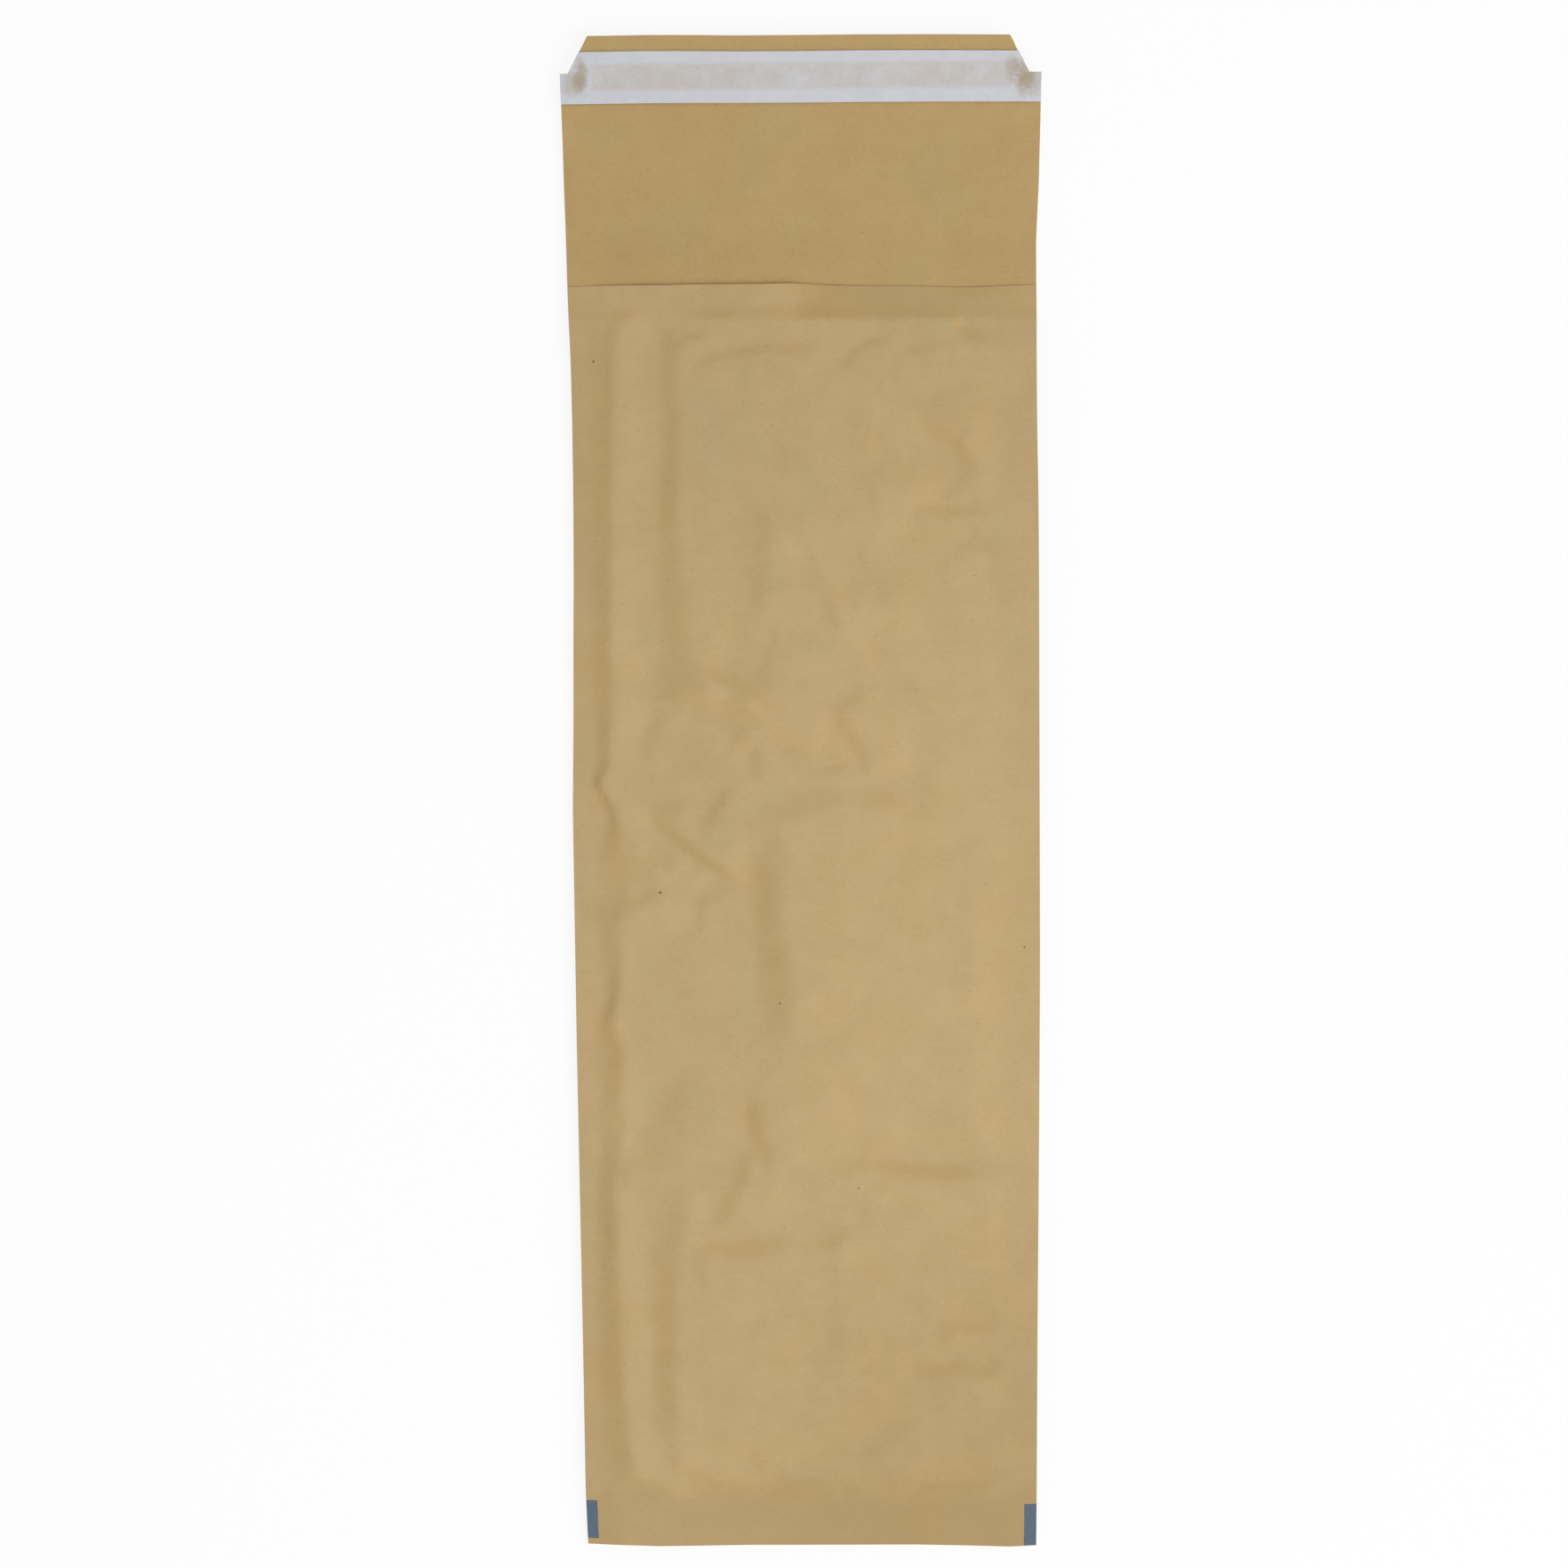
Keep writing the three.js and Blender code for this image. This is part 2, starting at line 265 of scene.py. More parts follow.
FRONT_CREASES: tuple[Crease, ...] = (
    # Middle of the panel: the long valley and what runs into it
    Crease(((-4.5, -65), (-7.5, -50), (-9, -38), (-10, -26), (-10, -16), (-8.5, -5)), 10.5, 2.5, 20),
    Crease(((-8.5, -98), (-10.5, -90), (-14, -82), (-15, -73)), 6.0, 1.4, 12),
    Crease(((-16, -20.5), (-30, -8.5), (-42.5, 1.5)), 5.2, 2.5, 12),
    Crease(((-25.5, -5), (-22.5, 2), (-19, 8)), 4.4, 0.8, 11),
    Crease(((-13, 8), (-11.5, 19)), 4.4, 0.9, 9),
    Crease(((-18, 15), (-16.5, 33)), 6.5, 1.0, 13),
    Crease(((-30, 38.6), (-20, 35), (-10, 30)), 6.5, 1.9, 20, ends=(0.4, 0.3)),
    Crease(((-18.5, 29), (-14, 33.5)), 10.0, 1.0, 9),
    Crease(((-43, 11), (-40, 19), (-36, 29)), 4.6, 0.6, 8, ends=(0.4, 0.15)),
    Crease(((-34.5, 29.5), (-33, 46)), 9.0, 0.8, 11, ends=(0.06, 0.6)),
    Crease(
        ((-17, -2.2), (-9, 1.6), (0, 3.5), (10, 3.8), (20, 3.5), (27, 0.8), (34, -2.5)),
        8.0, 1.2, 18, ends=(0.22, 0.3),
    ),
    Crease(((15.5, 8), (15.8, 14.5), (12, 20.5), (5, 27)), 6.0, 1.7, 13),
    Crease(((23, 33), (26.5, 37)), 17.0, 1.1, 10),
    # Upper half
    Crease(((2, 58.5), (18, 57), (34, 57), (48, 58.5)), 13.0, 1.0, 20, ends=(0.25, 0.35)),
    Crease(((1.5, 57.8), (6.5, 61.2)), 13.0, 1.0, 10),
    Crease(((-12, 48), (-11.5, 66), (-10.5, 83)), 6.5, 0.9, 17),
    Crease(((25.5, 79.5), (36, 77), (51, 77)), 4.4, 1.1, 11, ends=(0.4, 0.3)),
    Crease(((37, 68.5), (52, 68)), 3.8, 0.7, 9),
    Crease(((47.5, 84), (38, 95), (27.5, 103.5)), 6.0, 1.9, 15, ends=(0.3, 0.35)),
    Crease(((39, 90), (44, 87.8), (50, 88)), 3.8, 0.6, 9, ends=(0.4, 0.1)),
    Crease(((15, 88), (30, 88)), 10.0, 1.1, 14),
    Crease(((-30, 113), (-20, 117.6), (-10, 118.4), (6, 118.5)), 3.4, 0.8, 12, ends=(0.2, 0.2)),
    Crease(((9, 111.5), (13, 117), (18, 120.3), (25, 121)), 3.4, 0.85, 12),
    Crease(((23, 118.5), (36, 118)), 3.2, 0.5, 9),
    Crease(((-33, 119.5), (-27, 121.5), (-24.5, 125)), 3.2, 0.95, 9),
    Crease(((42.5, 119.5), (46.5, 123.5)), 9.0, 0.9, 6),
    Crease(((38, 122), (46, 121), (54, 120.5)), 6.0, 0.7, 8, ends=(0.25, 0.25), sunk=1.0),
    # The dent beside the left seam
    Crease(((-51, -28.5), (-36, -18.5)), 9.0, 0.65, 10),
    Crease(((-36, -20), (-48, -5)), 10.0, 1.1, 9, ends=(0.15, 0.4)),
    Crease(((-49.5, -30), (-49, -18), (-47.5, -6)), 12.0, 1.7, 16, ends=(0.35, 0.35)),
    Crease(((-26.5, -32), (-28, -22)), 3.2, 0.6, 8),
    # Lower half
    Crease(((-41, -92), (-36, -80), (-27.5, -65)), 11.0, 1.05, 17, ends=(0.25, 0.45)),
    Crease(((-49, -90), (-33, -91), (-14, -95.5)), 6.5, 1.0, 14, ends=(0.08, 0.5)),
    Crease(((-25, -110), (-19, -99), (-14.5, -86)), 5.2, 1.15, 12),
    Crease(
        ((-4, -99.5), (7, -94), (16, -91.2), (25, -93.8), (36, -95), (52, -95.6)),
        11.0, 1.8, 26, ends=(0.5, 0.45), sunk=0.9,
    ),
    Crease(((14, -90.8), (25, -93.8), (36, -95), (51, -95.3)), 4.5, 1.1, 12, sunk=0.9),
    Crease(((-1, -103.5), (7, -108.5), (16, -111)), 3.8, 0.45, 10, sunk=1.0),
    Crease(((-33, -115.5), (-12, -114), (4, -112), (15, -109.5)), 6.8, 1.3, 16, ends=(0.15, 0.3)),
    Crease(((7.5, -147), (6.5, -128), (6, -104)), 7.0, 0.9, 18, ends=(0.35, 0.4)),
    Crease(
        ((24, -151.5), (31, -148.5), (38, -147.3), (46, -148.6), (54, -150.5)),
        6.5, 1.4, 13, ends=(0.4, 0.3),
    ),
    Crease(((34, -147.6), (42, -147.8), (50, -149.6)), 5.5, 0.5, 7, ends=(0.4, 0.3), sunk=1.0),
    Crease(((35, -136.5), (42, -135.8), (50, -138.2)), 4.6, 0.4, 7, ends=(0.4, 0.3), sunk=1.0),
    Crease(((31, -138.5), (39, -135.6), (47, -137.2), (54, -139.5)), 6.0, 1.0, 12, ends=(0.35, 0.3)),
    Crease(((10.5, -173), (20, -165.5), (30, -159)), 7.5, 0.65, 15),
    Crease(((-29, -174.5), (-47, -173)), 3.4, 0.6, 8),
    Crease(((-33, -173.6), (-22, -175.2), (-9, -175)), 4.6, 0.8, 9, sunk=0.8),
    Crease(((22, -180.5), (40, -180), (53, -181)), 4.4, 1.5, 8, ends=(0.4, 0.1)),
)


@dataclass(frozen=True)
class BagForm:
    """The bag's sizes and the heights of its papers.

    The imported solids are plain. Here the cut edges and the slopes beside the seams wander, and the
    front panel has its creases. A span is a start and a run.
    """

    # The sheets, and the room between them
    width: float = 120.0
    pocket: float = 330.0
    flap: float = 63.4
    paper: float = 0.15
    pad: float = 2.5
    fused_film: float = 0.2
    fit: float = 0.1
    touch_gap: float = 0.3
    liner_width: float = 12.5
    liner: float = 0.1
    liner_inset: float = 4.1
    glue_width: float = 6.5
    glue: float = 0.12
    glue_end_inset: float = 7.0
    # The die that cuts the flap's corners
    cut_height: float = 9.2
    cut_inset: float = 7.5
    shoulder_inset: float = 2.5
    cut_shift: float = -0.5
    # The bottom margin
    fold_margin: float = 12.0
    film_fold: float = 1.5
    foot_run: float = 9.0
    foot_wander: Ripple = Ripple(1.8, 9.0, 34.0, 91)
    # The lip and the mouth
    lip_margin: float = 7.4
    lip_run: float = 2.6
    lip_touch: float = 0.05
    mouth_lead: float = 1.0
    mouth_close: float = 0.75
    closing_run: float = 75.0
    # The pads' slopes, and how far the pads stand apart
    foot_ease: float = 0.2
    gape_dome: float = 0.9
    dome_run: float = 45.0
    open_run: float = 30.0
    step_height: float = 1.95
    step_ease: float = 0.15
    step_skew: float = 0.3
    step_kept: float = 0.6
    right_lag: float = 0.6
    strip_run: float = 9.0
    # The seams, which stand off the table and hang down towards their cut edges
    seam_lift: float = 3.0
    right_lift: float = 1.65
    left_lift: float = 0.9
    left_lift_span: Point = (28.0, 24.0)
    seam_droop: float = 0.3
    left_droop: float = 1.1
    droop_width: float = 7.0
    droop_in: Point = (2.0, 24.0)
    droop_out: Point = (112.0, 12.0)
    # The flap
    flap_curl: float = 5.5
    flap_settle: float = 17.0
    flap_dip: float = 0.35
    flap_fall: float = 0.75
    wave_run: float = 0.5
    flap_wave: Ripple = Ripple(0.12, 30.0, 80.0, 23)
    # The papers' relief
    creases: tuple[Crease, ...] = FRONT_CREASES
    warp: Ripple = Ripple(0.5, 12.0, 30.0, 41)
    slack: Ripple = Ripple(0.09, 22.0, 60.0, 5)
    crumple: Ripple = Ripple(0.035, 6.0, 14.0, 11, 26)
    back_slack: Ripple = Ripple(0.16, 18.0, 50.0, 67)
    seam_relief: float = 0.12
    relief_span: Point = (2.0, 14.0)
    clear_span: Point = (0.1, 0.6)
    crest_start: float = 0.4
    crest_rise: float = 0.8
    crest_fall: float = 8.0
    # Distances of the cut edges from the middle, and shifts of the fold, the flap's end and the lip
    edge_fade: float = 26.0
    end_lead: float = 25.0
    left_edge: Line = Line((
        (-197, 59.4), (-190, 59.65), (-180, 59.9), (-140, 60), (-100, 60.2), (-60, 60.4), (0, 60.45),
        (20, 60.1), (40, 59.75), (60, 59.3), (80, 59.1), (100, 59.05), (120, 59.25), (133, 59.7),
        (160, 60.3), (184, 60.65), (197, 60.65),
    ))
    right_edge: Line = Line((
        (-197, 59.9), (-180, 60), (-140, 60.1), (-80, 60.4), (-40, 60.5), (0, 60.3), (40, 60.1),
        (60, 60), (80, 59.8), (100, 59.4), (120, 59.2), (145, 59.25), (160, 59.9), (175, 60.2),
        (197, 60.35),
    ))
    fold_edge: Line = Line((
        (-60, 0.5), (-52, 0.25), (-41, -0.1), (-30, 0.1), (-16, 0.4), (6, 0.6), (28, 0.8), (42, 0.6),
        (53, 0.3), (60, 0.55),
    ))
    end_edge: Line = Line((
        (-60, -0.15), (-47, -0.1), (-39, 0), (-31, -0.05), (-24, -0.16), (-16, -0.33), (0, -0.37),
        (15, -0.36), (23, -0.45), (31, -0.48), (39, -0.55), (47, -0.7), (60, -0.95),
    ))
    lip_edge: Line = Line((
        (-60, 1.55), (-52, 1.7), (-42, 1.65), (-35, 1.55), (-29, 1.7), (-11, 1.65), (-2, 1.8), (3, 1.6),
        (7, 1.35), (12, 1.2), (28, 1.05), (35, 0.8), (39, 0.65), (44, 0.65), (50, 0.8), (60, 1.1),
    ))
    # Heights at the mouth, and how early the front paper drops to it
    mouth_line: Line = Line((
        (-60, 3.1), (-52, 3.6), (-44, 4.4), (-34, 4.9), (-12, 5), (-4, 4.6), (6, 3.6), (22, 3.4),
        (30, 3.2), (45, 2.9), (52, 2.95), (60, 3.1),
    ))
    lip_gap: Line = Line((
        (-60, 0), (-54, 0.05), (-47, 0.4), (-40, 0.65), (-26, 0.6), (-14, 0.7), (-7, 1), (-3, 0.8),
        (1, 0.3), (8, 0.15), (16, 0.05), (22, 0), (40, 0), (46, 0.12), (54, 0.1), (60, 0),
    ))
    lip_drop: Line = Line(((-60, 0.3), (-44, 0.55), (-6, 0.55), (2, 0.15), (60, 0.12)))
    # Where the pads rise beside the seams, over what run, and how they part from there
    left_foot: Line = Line((
        (-185, -53.5), (-172, -54), (-152, -55.3), (-125, -55.7), (-100, -55.2), (-92, -54.3),
        (-76, -53.6), (-62, -53.6), (-55, -54), (-48, -52), (-42, -52.8), (-26, -53.5), (-14, -53.3),
        (-8, -52.3), (0, -51.2), (4, -53), (8, -54.8), (13, -53.6), (20, -54.1), (40, -54.5),
        (44, -54.8), (60, -54.9), (90, -54.9), (108, -54.6), (122, -54.2), (129, -57), (133, -57),
    ))
    left_foot_run: Line = Line((
        (-185, 7), (-172, 6.6), (-152, 5.8), (-125, 5.4), (-100, 4.4), (-86, 4.8), (-81, 6.6),
        (-76, 3.6), (-70, 5.2), (-62, 5), (-55, 3), (-48, 2.8), (-42, 4), (-28, 5.5), (-24, 7),
        (-19, 8.5), (-14, 6.8), (-8, 4.2), (0, 2.6), (8, 1.6), (13, 2.6), (20, 3.4), (30, 3.8),
        (40, 3.8), (44, 3.8), (60, 4.3), (80, 4.3), (90, 4.5), (108, 4.8), (122, 5.2), (129, 12),
        (133, 16),
    ))
    foot_skew: Line = Line((
        (-185, 0), (-95, 0), (-60, 0.4), (-40, 0.6), (-28, -0.3), (-12, -0.3), (-4, 0.5), (40, 0.5),
        (60, 0.4), (133, 0.4),
    ))
    left_step: Line = Line((
        (-185, -41.6), (-150, -41.8), (-125, -41.4), (-110, -41.8), (-98, -42), (-92, -45), (-88, -49),
        (-80, -52.5), (-40, -52), (0, -51), (4, -51), (8, -50), (11, -46), (16, -43.5), (24, -41),
        (30, -39), (36, -38.5), (60, -38), (80, -38), (100, -37), (123, -36.5), (129, -48), (133, -50),
    ))
    left_step_run: Line = Line((
        (-185, 9), (-165, 6.5), (-150, 5.8), (-125, 6.2), (-110, 8), (-100, 11), (-90, 30), (-80, 50),
        (-40, 55), (0, 55), (8, 52), (18, 45), (25, 30), (30, 13), (34, 10.5), (42, 8.5), (50, 7),
        (60, 6), (80, 5), (100, 5), (123, 4.3), (129, 26), (133, 30),
    ))
    right_foot: Line = Line((
        (-185, 53), (-130, 53), (-90, 52.5), (-50, 53), (-20, 53.5), (0, 53), (20, 54), (60, 53),
        (100, 53), (133, 51),
    ))
    right_foot_run: Line = Line((
        (-185, 5.5), (-90, 5), (-20, 5), (0, 5), (20, 7), (60, 9), (85, 10.5), (105, 10), (120, 7),
        (133, 4.5),
    ))
    right_strip: Line = Line((
        (-185, 0), (-95, 0.05), (-82, 0.4), (-30, 0.45), (-20, 0.35), (-8, 0.12), (15, 0), (133, 0),
    ))
    crest: Line = Line(((-185, 0.5), (-105, 0.5), (-85, 0.1), (20, 0.1), (45, 0.55), (133, 0.55)))

    @property
    def half(self) -> float:
        """Half the bag's width."""
        return self.width / 2

    @property
    def length(self) -> float:
        """Bottom fold to the flap's end."""
        return self.pocket + self.flap

    @property
    def blank_length(self) -> float:
        """Length of the kraft blank before it is folded."""
        return 2 * self.pocket + self.flap

    @property
    def fold_y(self) -> float:
        """Place of the bottom fold."""
        return -self.length / 2

    @property
    def mouth_y(self) -> float:
        """Place of the front lip."""
        return self.fold_y + self.pocket

    @property
    def lining_y(self) -> float:
        """Place of the lining's cut edge."""
        return self.mouth_y - self.lip_margin

    @property
    def seam_stack(self) -> float:
        """Space between the two papers in a seam."""
        return 2 * self.fit + self.fused_film

    @property
    def fold_radius(self) -> float:
        """Outer radius of the bottom fold."""
        return self.paper + self.seam_stack / 2

    @property
    def liner_start(self) -> float:
        """Place of the liner's lower edge."""
        return self.length / 2 - self.liner_inset - self.liner_width

    def padding(self, x: np.ndarray, y: np.ndarray) -> np.ndarray:
        """Gives the share of the padding under each place.

        Args:
            x: Places across the bag.
            y: Places along it.

        Returns:
            The share, which is 0 in the seams and the bottom margin.
        """
        left_run, right_run = self.left_foot_run.at(y), self.right_foot_run.at(y)
        left = climb(x, self.left_foot.at(y), left_run, self.foot_ease, self.foot_skew.at(y))
        right = climb(-x, -self.right_foot.at(y), right_run, self.foot_ease, 0.0)
        wander = self.foot_wander.at(x, np.zeros_like(x))
        foot = ramp(y, self.fold_y + self.fold_margin + wander, self.foot_run)
        return np.minimum(left, right) * foot

    def gape(self, x: np.ndarray, y: np.ndarray) -> np.ndarray:
        """Gives how far the two pads stand apart: a step at each side, then a low dome.

        Args:
            x: Places across the bag.
            y: Places along it.

        Returns:
            The distance at each place.
        """
        left = x - self.left_step.at(y)
        right = self.right_foot.at(y) - self.right_lag * self.right_foot_run.at(y) - x
        strip = self.right_strip.at(y)
        step = climb(left, 0.0, self.left_step_run.at(y), self.step_ease, self.step_skew)
        step = step * (strip * ramp(right, 0, self.strip_run) + (1 - strip) * ramp(right, 0, self.half))
        dome = np.minimum(ramp(left, 0, self.dome_run), ramp(right, 0, self.dome_run))
        closing = 1.0 - self.mouth_close * ramp(y, self.mouth_y - self.closing_run, self.closing_run)
        kept = self.step_kept + (1.0 - self.step_kept) * closing
        across = self.step_height * step * kept + self.gape_dome * dome * closing
        return across * ramp(y, self.fold_y + self.fold_margin, self.open_run)

    def pad_depth(self, x: np.ndarray, y: np.ndarray) -> np.ndarray:
        """Gives the thickness of one layer of the lining."""
        return self.fused_film / 2 + (self.pad - self.fused_film / 2) * self.padding(x, y)

    def back(self, x: np.ndarray, y: np.ndarray) -> np.ndarray:
        """Gives the underside of the back paper, which rises to the mouth and ends as the flap.

        Args:
            x: Places across the bag.
            y: Places along it.

        Returns:
            The height at each place.
        """
        bare = ramp(y, self.lining_y - self.mouth_lead, self.lip_margin + self.mouth_lead)
        settled = self.flap_dip * ramp(y, self.mouth_y, self.flap_settle)
        settled = settled + (1.0 - self.flap_dip) * ramp(y, self.mouth_y, self.flap_fall * self.flap)
        along = np.clip((y - self.mouth_y) / self.flap, 0.0, None)
        # Twice the waves' height keeps their troughs above the table
        wave = self.flap_wave.at(x, y) + self.flap_wave.height * 2
        level = self._rest(x, y) * (1.0 - bare) + self.mouth_line.at(x) * bare
        curled = self.flap_curl * along**2 + wave * ramp(along, 0.0, self.wave_run)
        return level * (1.0 - settled) + curled

    def _rest(self, x: np.ndarray, y: np.ndarray) -> np.ndarray:
        """Gives the same paper as the padding holds it, with the seams standing off the table.

        Args:
            x: Places across the bag.
            y: Places along it.

        Returns:
            The height at each place.
        """
        inside = self.padding(x, y)
        side = ramp(x, -self.half, self.width)
        lift = self.seam_lift + self.right_lift * side
        lift = lift + self.left_lift * (1.0 - side) * ramp(y, *self.left_lift_span)
        seams = np.maximum(lift * (1.0 - inside) - self._seam_droop(x, y), 0.0)
        return seams + np.clip(self.back_slack.at(x, y), 0.0, None) * inside

    def _seam_droop(self, x: np.ndarray, y: np.ndarray) -> np.ndarray:
        """Gives how far the seams hang down towards their cut edges.

        Args:
            x: Places across the bag.
            y: Places along it.

        Returns:
            The distance at each place.
        """
        outer = np.clip((np.abs(x) - self.half + self.droop_width) / self.droop_width, 0.0, 1.0)
        along = ramp(y, *self.droop_in) * (1.0 - ramp(y, *self.droop_out))
        left = np.where(x < 0, self.left_droop * along, 0.0)
        return outer * (self.seam_droop + left)

    def relief(self, x: np.ndarray, y: np.ndarray) -> np.ndarray:
        """Gives what creases and slack paper add to the front panel.

        Args:
            x: Places across the bag.
            y: Places along it.

        Returns:
            The height that is added at each place.
        """
        wx, wy = x + self.warp.at(x, y), y + self.warp.at(y, x)
        total = self.slack.at(x, y) + self.crumple.at(x, y)
        for crease in self.creases:
            total = total + crease.height(wx, wy)
        foot, run = self.left_foot.at(y), self.left_foot_run.at(y)
        crest = ramp(x, foot + self.crest_start * run, self.crest_rise * run)
        top = foot + (self.crest_start + self.crest_rise) * run
        total = total + self.crest.at(y) * crest * (1.0 - ramp(x, top, self.crest_fall))
        held = self.seam_relief + (1.0 - self.seam_relief) * self.padding(x, y)
        start, rise = self.relief_span
        return total * held * ramp(y, self.fold_y + start, rise)

    def front(self, x: np.ndarray, y: np.ndarray) -> np.ndarray:
        """Gives the inner face of the front paper, which drops past the lining to the bare lip.

        Args:
            x: Places across the bag.
            y: Places along it.

        Returns:
            The height at each place.
        """
        depth, inside = self.pad_depth(x, y), self.padding(x, y)
        stack = self.paper + 2 * self.fit + 2 * depth + self.touch_gap * inside + self.gape(x, y)
        padded = self._rest(x, y) + stack + self.relief(x, y)
        bare = ramp(y, self.lining_y, self.lip_run)
        shut = self.paper + self.seam_stack * (1.0 - bare) + self.lip_touch * bare
        lip = self.mouth_line.at(x) + self.paper + self.lip_touch + self.lip_gap.at(x)
        along = np.clip((y - self.lining_y) / self.lip_margin, 0.0, 1.0)
        early = self.lip_drop.at(x)
        dropped = early * bare + (1.0 - early) * along
        return np.maximum(padded * (1.0 - dropped) + lip * dropped, self.back(x, y) + shut)

    def drawn_in(self, x: np.ndarray, y: np.ndarray) -> np.ndarray:
        """Gives where a place across the flat bag lies between the cut edges, which wander."""
        reach = np.where(x < 0.0, self.left_edge.at(y), self.right_edge.at(y))
        return x * reach / self.half

    def end_shift(self, x: np.ndarray, y: np.ndarray) -> np.ndarray:
        """Gives how far the flap's end, which isn't cut quite square, draws a place back."""
        lead = self.end_lead
        return self.end_edge.at(x) * ramp(y, self.mouth_y + lead, self.flap - lead)

    def clear_of(self, x: np.ndarray, y: np.ndarray, reach: float) -> tuple[np.ndarray, np.ndarray]:
        """Gives the highest back and the lowest front near each place.

        Args:
            x: Places across the bag.
            y: Places along it.
            reach: How far round each place to look; 0 looks only at the place.

        Returns:
            The back paper's underside and the front paper's inner face.
        """
        back, front = self.back(x, y), self.front(x, y)
        if reach > 0.0:
            share = ramp(self.padding(x, y), *self.clear_span)
            high, low = back, front
            for dx, dy in ((reach, 0.0), (-reach, 0.0), (0.0, reach), (0.0, -reach)):
                high = np.maximum(high, self.back(x + dx, y + dy))
                low = np.minimum(low, self.front(x + dx, y + dy))
            back, front = back + share * (high - back), front + share * (low - front)
        return back, front

    def wrap(
        self, x: np.ndarray, v: np.ndarray, inset: float, height: np.ndarray, reach: float = 0.0
    ) -> np.ndarray:
        """Folds places of a flat web round the bottom of the bag.

        Args:
            x: Places across the web.
            v: Places along it, from 0 at the flap's end over the back, the fold and the front.
            inset: Distance of the web's face inside the paper's outer face.
            height: Further distance inside it, such as a bubble's.
            reach: How far round each place the web keeps clear of the paper's creases.

        Returns:
            The folded places, one row each.
        """
        radius = self.fold_radius
        arc = math.pi * radius / 2
        turned = v - self.length
        back_y = self.fold_y + radius + np.clip(-turned - arc, 0.0, None)
        front_y = self.fold_y + radius + np.clip(turned - arc, 0.0, None)
        depth = inset + height
        back_z = self.clear_of(x, back_y, reach)[0] + depth
        front_z = self.clear_of(x, front_y, reach)[1] + self.paper - depth
        front_y = front_y + self.lip_edge.at(x) * ramp(front_y, self.lining_y, self.lip_margin)
        angle = np.clip(turned / arc, -1.0, 1.0) * math.pi / 2
        middle = self.back(x, np.full_like(x, self.fold_y)) + radius
        fold_y = self.fold_y + radius - (radius - depth) * np.cos(angle)
        fold_z = middle + (radius - depth) * np.sin(angle)
        on_back, on_front = turned < -arc, turned > arc
        y = np.where(on_back, back_y, np.where(on_front, front_y, fold_y))
        y = y + self.fold_edge.at(x) * (1.0 - ramp(y, self.fold_y, self.edge_fade))
        y = y + np.where(on_back, self.end_shift(x, y), 0.0)
        z = np.where(on_back, back_z, np.where(on_front, front_z, fold_z))
        return np.stack([self.drawn_in(x, y), y, z], axis=1)


class Value:
    """A shader's number or colour that takes part in Python expressions."""

    def __init__(self, shader: Shader, socket: bpy.types.NodeSocket) -> None:
        """Wraps a node's output.

        Args:
            shader: The material that the node is in.
            socket: The output.
        """
        self.shader = shader
        self.socket = socket

    def _math(self, operation: str, *values: Any) -> Value:
        """Adds a Math node.

        Args:
            operation: The node's operation.
            values: Its inputs, numbers or values.

        Returns:
            The node's result.
        """
        node = self.shader.node("ShaderNodeMath", {"operation": operation}, dict(enumerate(values)))
        return Value(self.shader, node.outputs[0])

    def __add__(self, other: Any) -> Value:
        """Adds."""
        return self._math("ADD", self, other)

    __radd__ = __add__

    def __sub__(self, other: Any) -> Value:
        """Subtracts."""
        return self._math("SUBTRACT", self, other)

    def __rsub__(self, other: Any) -> Value:
        """Subtracts this from a number."""
        return self._math("SUBTRACT", other, self)

    def __mul__(self, other: Any) -> Value:
        """Multiplies."""
        return self._math("MULTIPLY", self, other)

    __rmul__ = __mul__

    def __gt__(self, other: Any) -> Value:
        """Gives 1 where this is greater."""
        return self._math("GREATER_THAN", self, other)

    def __lt__(self, other: Any) -> Value:
        """Gives 1 where this is less."""
        return self._math("LESS_THAN", self, other)

    def __abs__(self) -> Value:
        """Drops the sign."""
        return self._math("ABSOLUTE", self)

    def smooth(self, low: float, high: float) -> Value:
        """Rises smoothly from 0 to 1.

        Args:
            low: Where it is 0.
            high: Where it is 1.

        Returns:
            The share risen.
        """
        settings = {"interpolation_type": "SMOOTHSTEP"}
        inputs = {"Value": self, "From Min": low, "From Max": high}
        node = self.shader.node("ShaderNodeMapRange", settings, inputs)
        return Value(self.shader, node.outputs["Result"])


